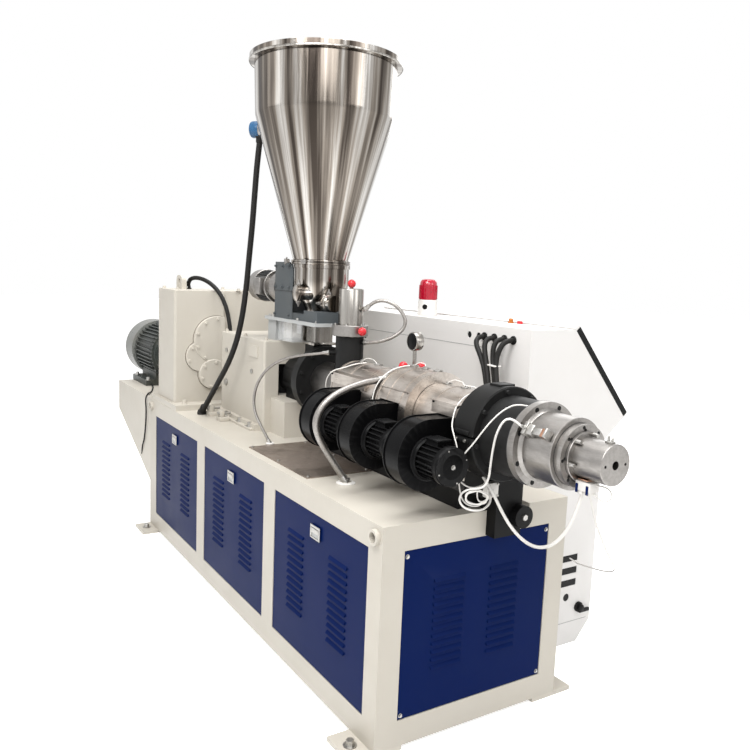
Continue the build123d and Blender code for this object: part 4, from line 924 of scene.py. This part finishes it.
# main motor
motorLook = {"axis": (-110, 928), "cowlEnd": -2110, "grilleRings": (38, 62, 86, 110, 132),
             "band": [(150, 0), (178.5, 0), (180, 2), (180, 10), (178.5, 12), (150, 12)]}
y, z = motorLook["axis"]
cowlEnd = motorLook["cowlEnd"]
ribs("cowlGrille", "black", 32, 83, (96, 4, 3), (cowlEnd - 0.5, y, z), math.pi / 2)
makePiece("cowlRings", "black", [
    *((addLathe, band(radius - 2, radius + 2, 3), (cowlEnd - 3, y, z), forward, 72)
      for radius in motorLook["grilleRings"]),
    (addDisc, (cowlEnd, y, z), (-1, 0, 0), 37, 3)])
makePiece("cowlBand", "cowl", [
    (addLathe, motorLook["band"], (-1934, y, z), forward, 96)])
makePiece("motorCastings", "green", [
    (addBox, (-1818, y - 58, 1106.5), (-1692, y + 58, 1114.5), 3),
    (addLathe, [(70, 0), (138, 0), (138, 6), (100, 20), (70, 22)], (-1592, y, z), forward, 72),
    (addLathe, shaft((13, 0), (13, 12), (10, 13), (10, 24)), (-1694, y - 30, 1095), forward, 24)])
screws("terminalLidScrews", grid((-1808, -1702), (y - 48, y + 48), (1114.5,)), upward, 4.5, 3)
screws("motorEndBolts", ringSpots((-1584, y, z), 124, 6, 30), forward, 7.5, 6)
screws("motorFootBolts", grid((-1860, -1620), (y - 162, y + 162), (768,)), upward, 11, 9)
print("main motor finished")

# level sensor, glands and hose ends: look, place, direction, radius and length
sensorLook = {"foot": (-149.6, -156, 2065), "axis": (-0.788, -0.616, 0)}
makePiece("sensorMount", "aluminium", [
    (addLathe, shaft((40, 0), (40, 20), (33, 24), (33, 52)), sensorLook["foot"], sensorLook["axis"], 40)],
    ["level_sensor"])
makePiece("sensorHead", "sensorBlue", [
    (addLathe, shaft((34, 50), (35.5, 53), (35.5, 86), (33.5, 90), (12, 91.5)), sensorLook["foot"],
     sensorLook["axis"], 40)])
glands = [("rubber", (-192, -187, 2038), (-0.02, -0.02, -0.2), 16.5, 30),
          ("rubber", (-646, -279, 733), (0.55, 0.04, 0.84), 17, 55),
          ("rubber", (-1010, -232, 1343), (0.12, -0.02, 1), 15, 22),
          ("zinc", (285.7, -71.3, 1140), (-0.82, -0.55, -0.1), 8.5, 32),
          ("zinc", (726, -71, 1092), (0, -1, -0.03), 15, 44),
          ("zinc", (375.7, 34.9, 1322), (0.6, 0.42, 0.68), 9.5, 24),
          ("zinc", (385.9, 30.9, 1190), (0.9, 0.43, 0.03), 9.5, 24),
          ("zinc", (741, -241, 736), (-0.35, -0.42, 0.84), 14.5, 24),
          ("zinc", (97, -241, 736), (-0.4, -0.28, 0.87), 8.5, 18)]
for look in ("rubber", "zinc"):
    shapes = []
    for kind, origin, axis, radius, length in glands:
        if kind == look:
            profile = shaft((radius * 1.3, 0), (radius * 1.3, length * 0.28), (radius, length * 0.32),
                            (radius * 0.97, length * 0.7), (radius * 0.86, length))
            shapes.append((addLathe, profile, origin, axis, 6 if look == "zinc" and radius < 10 else 28))
    makePiece(look + "Ends", look, shapes)
makePiece("whiteGrommets", "white", [
    (addLathe, shaft((radius, 0), (radius, 3), (radius * 0.82, 6)), origin, upward, 40)
    for origin, radius in (((741, -241, 731.5), 34), ((97, -241, 735.5), 18))])
makePiece("leadTie", "white", [
    (addBox, (1253, -168, 929), (1273, -155.5, 934.5), 2, spun(20, "Y")),
    (addBox, (1250, -166, 915), (1253, -163.5, 942), 0.8, spun(-35, "Y"))])
print("glands and hose ends finished")

# thermocouple and heater leads: diameter, length and the points they run through
leadRoutes = {
    "frontCoverLead": (4.5, 570, [
        (1166, -10, 1113), (1170, -50, 1112), (1178, -96, 1094), (1192, -130, 1070), (1200, -142, 1045),
        (1210, -154, 1020), (1232, -161, 998), (1252, -163, 968), (1262, -161, 932), (1256, -155, 885),
        (1256, -148, 835), (1264, -140, 800), (1280, -118, 784), (1288, -75, 788), (1262, -18, 822)]),
    "adapterLead": (4.5, 479, [
        (1424, -52, 1112), (1405, -80, 1118), (1385, -110, 1098), (1368, -134, 1068), (1350, -150, 1034),
        (1325, -159, 995), (1292, -163, 958), (1266, -162, 930), (1252, -158, 900), (1246, -150, 868),
        (1247, -120, 840), (1250, -80, 828), (1241, -40, 835)]),
    "plugLead": (6.5, 577, [
        (1463, -100, 1058), (1448, -124, 1084), (1424, -138, 1082), (1402, -145, 1040), (1380, -136, 985),
        (1363, -126, 932), (1351, -118, 892), (1336, -118, 862), (1314, -130, 850), (1294, -146, 846),
        (1280, -160, 832), (1278, -166, 810), (1288, -156, 790), (1306, -136, 782), (1314, -100, 782),
        (1298, -55, 796), (1262, -30, 812)]),
    "middleCoverLead": (4.5, 289, [
        (772, -12, 1145.5), (762, -50, 1142), (752, -92, 1122), (745, -126, 1088), (744, -143, 1048),
        (750, -152, 1010), (768, -160, 980), (800, -168, 962)]),
    "rearCoverLead": (4.5, 317, [
        (472, -8, 1119), (458, -46, 1116), (438, -88, 1098), (414, -126, 1086), (394, -140, 1056),
        (380, -138, 1014), (372, -122, 978), (370, -98, 955), (376, -68, 962)]),
    "rearCrownLead": (3, 132, [
        (419, 4, 1118), (430, 16, 1134), (455, 24, 1130), (490, 12, 1133), (520, 6, 1126), (536, 2, 1118)]),
    "middleCrownLead": (3, 88, [
        (775, 4, 1144), (790, 16, 1160), (815, 20, 1156), (838, 10, 1158), (846, 2, 1144)]),
    "frontCrownLead": (3, 112, [
        (973, 4, 1109), (990, 16, 1126), (1020, 22, 1122), (1050, 12, 1125), (1070, 2, 1109)]),
    "crownLoopLead": (3, 110, [
        (1070, -4, 1109), (1085, -18, 1124), (1110, -22, 1122), (1140, -12, 1124), (1166, -3, 1110)]),
    "nozzleLoopLead": (4.5, 117, [
        (1650, -6, 934), (1672, 4, 936), (1692, 6, 926), (1697, 2, 910), (1686, -4, 898), (1668, -8, 898),
        (1650, -12, 912)]),
    "dieSupplyLead": (6, 1203, [
        (1636, -12, 907), (1636, 0, 868), (1622, 50, 790), (1580, 150, 690), (1490, 300, 590),
        (1350, 450, 500), (1190, 570, 430), (1060, 650, 385), (985, 688, 362), (943, 694, 366)]),
    "spareLeadCoil": (4.5, 613, [
        (1262, -36, 824), (1285, -60, 832), (1333, -100, 822), (1331.9, -100.9, 831.5), (1323.2, -114, 839.6),
        (1314.8, -126.7, 844.6), (1304.9, -141.8, 839.2), (1298.5, -151.1, 834.7), (1296.5, -153.5, 824.4),
        (1294.5, -155.8, 814.7), (1300.1, -145.9, 804.2), (1308.8, -131.1, 801.8), (1317.2, -116.8, 803.2),
        (1325.5, -102.8, 806.7), (1326.7, -100, 817.7), (1326.6, -99.2, 827.8), (1323.7, -103, 837.9),
        (1314.2, -117.5, 840.3), (1305.3, -131, 843.7), (1295.6, -145.7, 837.9), (1290.5, -152.9, 828.4),
        (1291.8, -149.9, 818.2), (1292.9, -147.4, 809.4), (1299.6, -135.9, 803.3), (1308.5, -120.7, 799.3),
        (1316.4, -107.2, 806.3), (1323.8, -94.5, 812.7), (1322.8, -95.2, 823.2), (1319.2, -100.2, 832.1),
        (1314.2, -107.3, 841.7), (1304.4, -122.2, 843), (1288, -100, 796), (1276, -50, 796),
        (1262, -12, 808)]),
}
for name, (diameter, length, route) in leadRoutes.items():
    layCord(name, "white", diameter, length, "limp", route)
makePiece("terminalBlock", "white", [(addBox, (1239.5, -43, 796), (1263.5, 2, 842), 3)])
screws("terminalScrews", grid((1263.5,), (-37, -3), (801, 837)), forward, 3.2, 2, "zinc", 12, 1.2)
print("leads laid")

# camera, light and floor
viewLook = {
    "place": (2.98802, -1.56249, 1.46988),
    "right": (0.53056557, 0.84669115, 0.04017801),
    "down": (0.13416809, -0.03708331, -0.99026449),
    "ahead": (-0.83695825, 0.53079084, -0.13327406),
    "focalPixels": 761.593,
    "frameWidth": 750,
    "sensorWidth": 36.0,
}


def makeCamera(look):
    data = bpy.data.cameras.new("viewCamera")
    data.sensor_width = look["sensorWidth"]
    data.lens = look["sensorWidth"] * look["focalPixels"] / look["frameWidth"]
    data.clip_end = 200
    camera = bpy.data.objects.new("viewCamera", data)
    rows = Matrix((Vector(look["right"]), -Vector(look["down"]), -Vector(look["ahead"])))
    turn = rows.transposed().to_4x4()
    camera.matrix_world = Matrix.Translation(look["place"]) @ turn
    scene.collection.objects.link(camera)
    scene.camera = camera


lampLook = {
    "keyLamp": {"place": (5.4, -2.6, 4.4), "aim": (0.4, 0, 0.9), "size": 3.2, "power": 130},
    "sideLamp": {"place": (-2.5, -5.0, 3.6), "aim": (-0.4, 0, 1.0), "size": 3.0, "power": 22},
    "endLamp": {"place": (6.0, 2.2, 3.6), "aim": (1.0, 0.2, 0.9), "size": 2.6, "power": 58},
    "topLamp": {"place": (0.3, 0.2, 6.0), "aim": (0.3, 0.1, 1.0), "size": 4.0, "power": 330},
    "deckLamp": {"place": (1.6, -2.0, 3.6), "aim": (0.4, 0.3, 1.0), "size": 1.6, "power": 90},
    "backLamp": {"place": (-2.5, 5.0, 4.0), "aim": (0, 0, 1.0), "size": 3.0, "power": 70},
}


def makeLamps(look):
    for name, facts in look.items():
        data = bpy.data.lights.new(name, "AREA")
        data.size = facts["size"]
        data.energy = facts["power"]
        lamp = bpy.data.objects.new(name, data)
        lamp.location = facts["place"]
        aim = Vector(facts["aim"]) - Vector(facts["place"])
        lamp.rotation_euler = aim.to_track_quat("-Z", "Y").to_euler()
        scene.collection.objects.link(lamp)


surroundLook = {
    "worldTint": (1.0, 0.99, 0.975, 1),
    "worldStrength": 0.48,
    "floorHalf": 30,
    "floorGlow": 0.62,
    "floorShades": ((0.86, 0.86, 0.855, 1), (0.9, 0.9, 0.895, 1)),
    "floorRoughness": 0.85,
}


def makeWorld(look):
    world = bpy.data.worlds.new("studioWorld")
    scene.world = world
    world.use_nodes = True
    tree = world.node_tree
    tree.nodes.clear()
    tint = {"Color": look["worldTint"], "Strength": look["worldStrength"]}
    soft = addNode(tree, "ShaderNodeBackground", tint)
    pale = addNode(tree, "ShaderNodeBackground", {"Color": (1, 1, 1, 1), "Strength": 1.0})
    mix = addNode(tree, "ShaderNodeMixShader", {0: seenRays(tree), 1: soft.outputs[0], 2: pale.outputs[0]})
    addNode(tree, "ShaderNodeOutputWorld", {"Surface": mix.outputs[0]})


def makeFloor(look):
    half = look["floorHalf"]
    mesh = bpy.data.meshes.new("studioFloor")
    corners = [(-half, -half, 0), (half, -half, 0), (half, half, 0), (-half, half, 0)]
    mesh.from_pydata(corners, [], [(0, 1, 2, 3)])
    floor = bpy.data.objects.new("studioFloor", mesh)
    made, tree, shader = startMaterial("paleFloor")
    cloud = noiseNode(tree, objectPlace(tree), 0.6)
    setInputs(tree, shader, {
        "Base Color": blendColours(tree, cloud, *look["floorShades"]), "Roughness": look["floorRoughness"],
        "Emission Strength": mathNode(tree, "MULTIPLY", seenRays(tree), look["floorGlow"]),
        "Emission Color": (1, 1, 1, 1)})
    mesh.materials.append(made)
    scene.collection.objects.link(floor)


makeCamera(viewLook)
makeLamps(lampLook)
makeWorld(surroundLook)
makeFloor(surroundLook)
scene.view_settings.view_transform = "Standard"
print("camera, lamps and floor set")
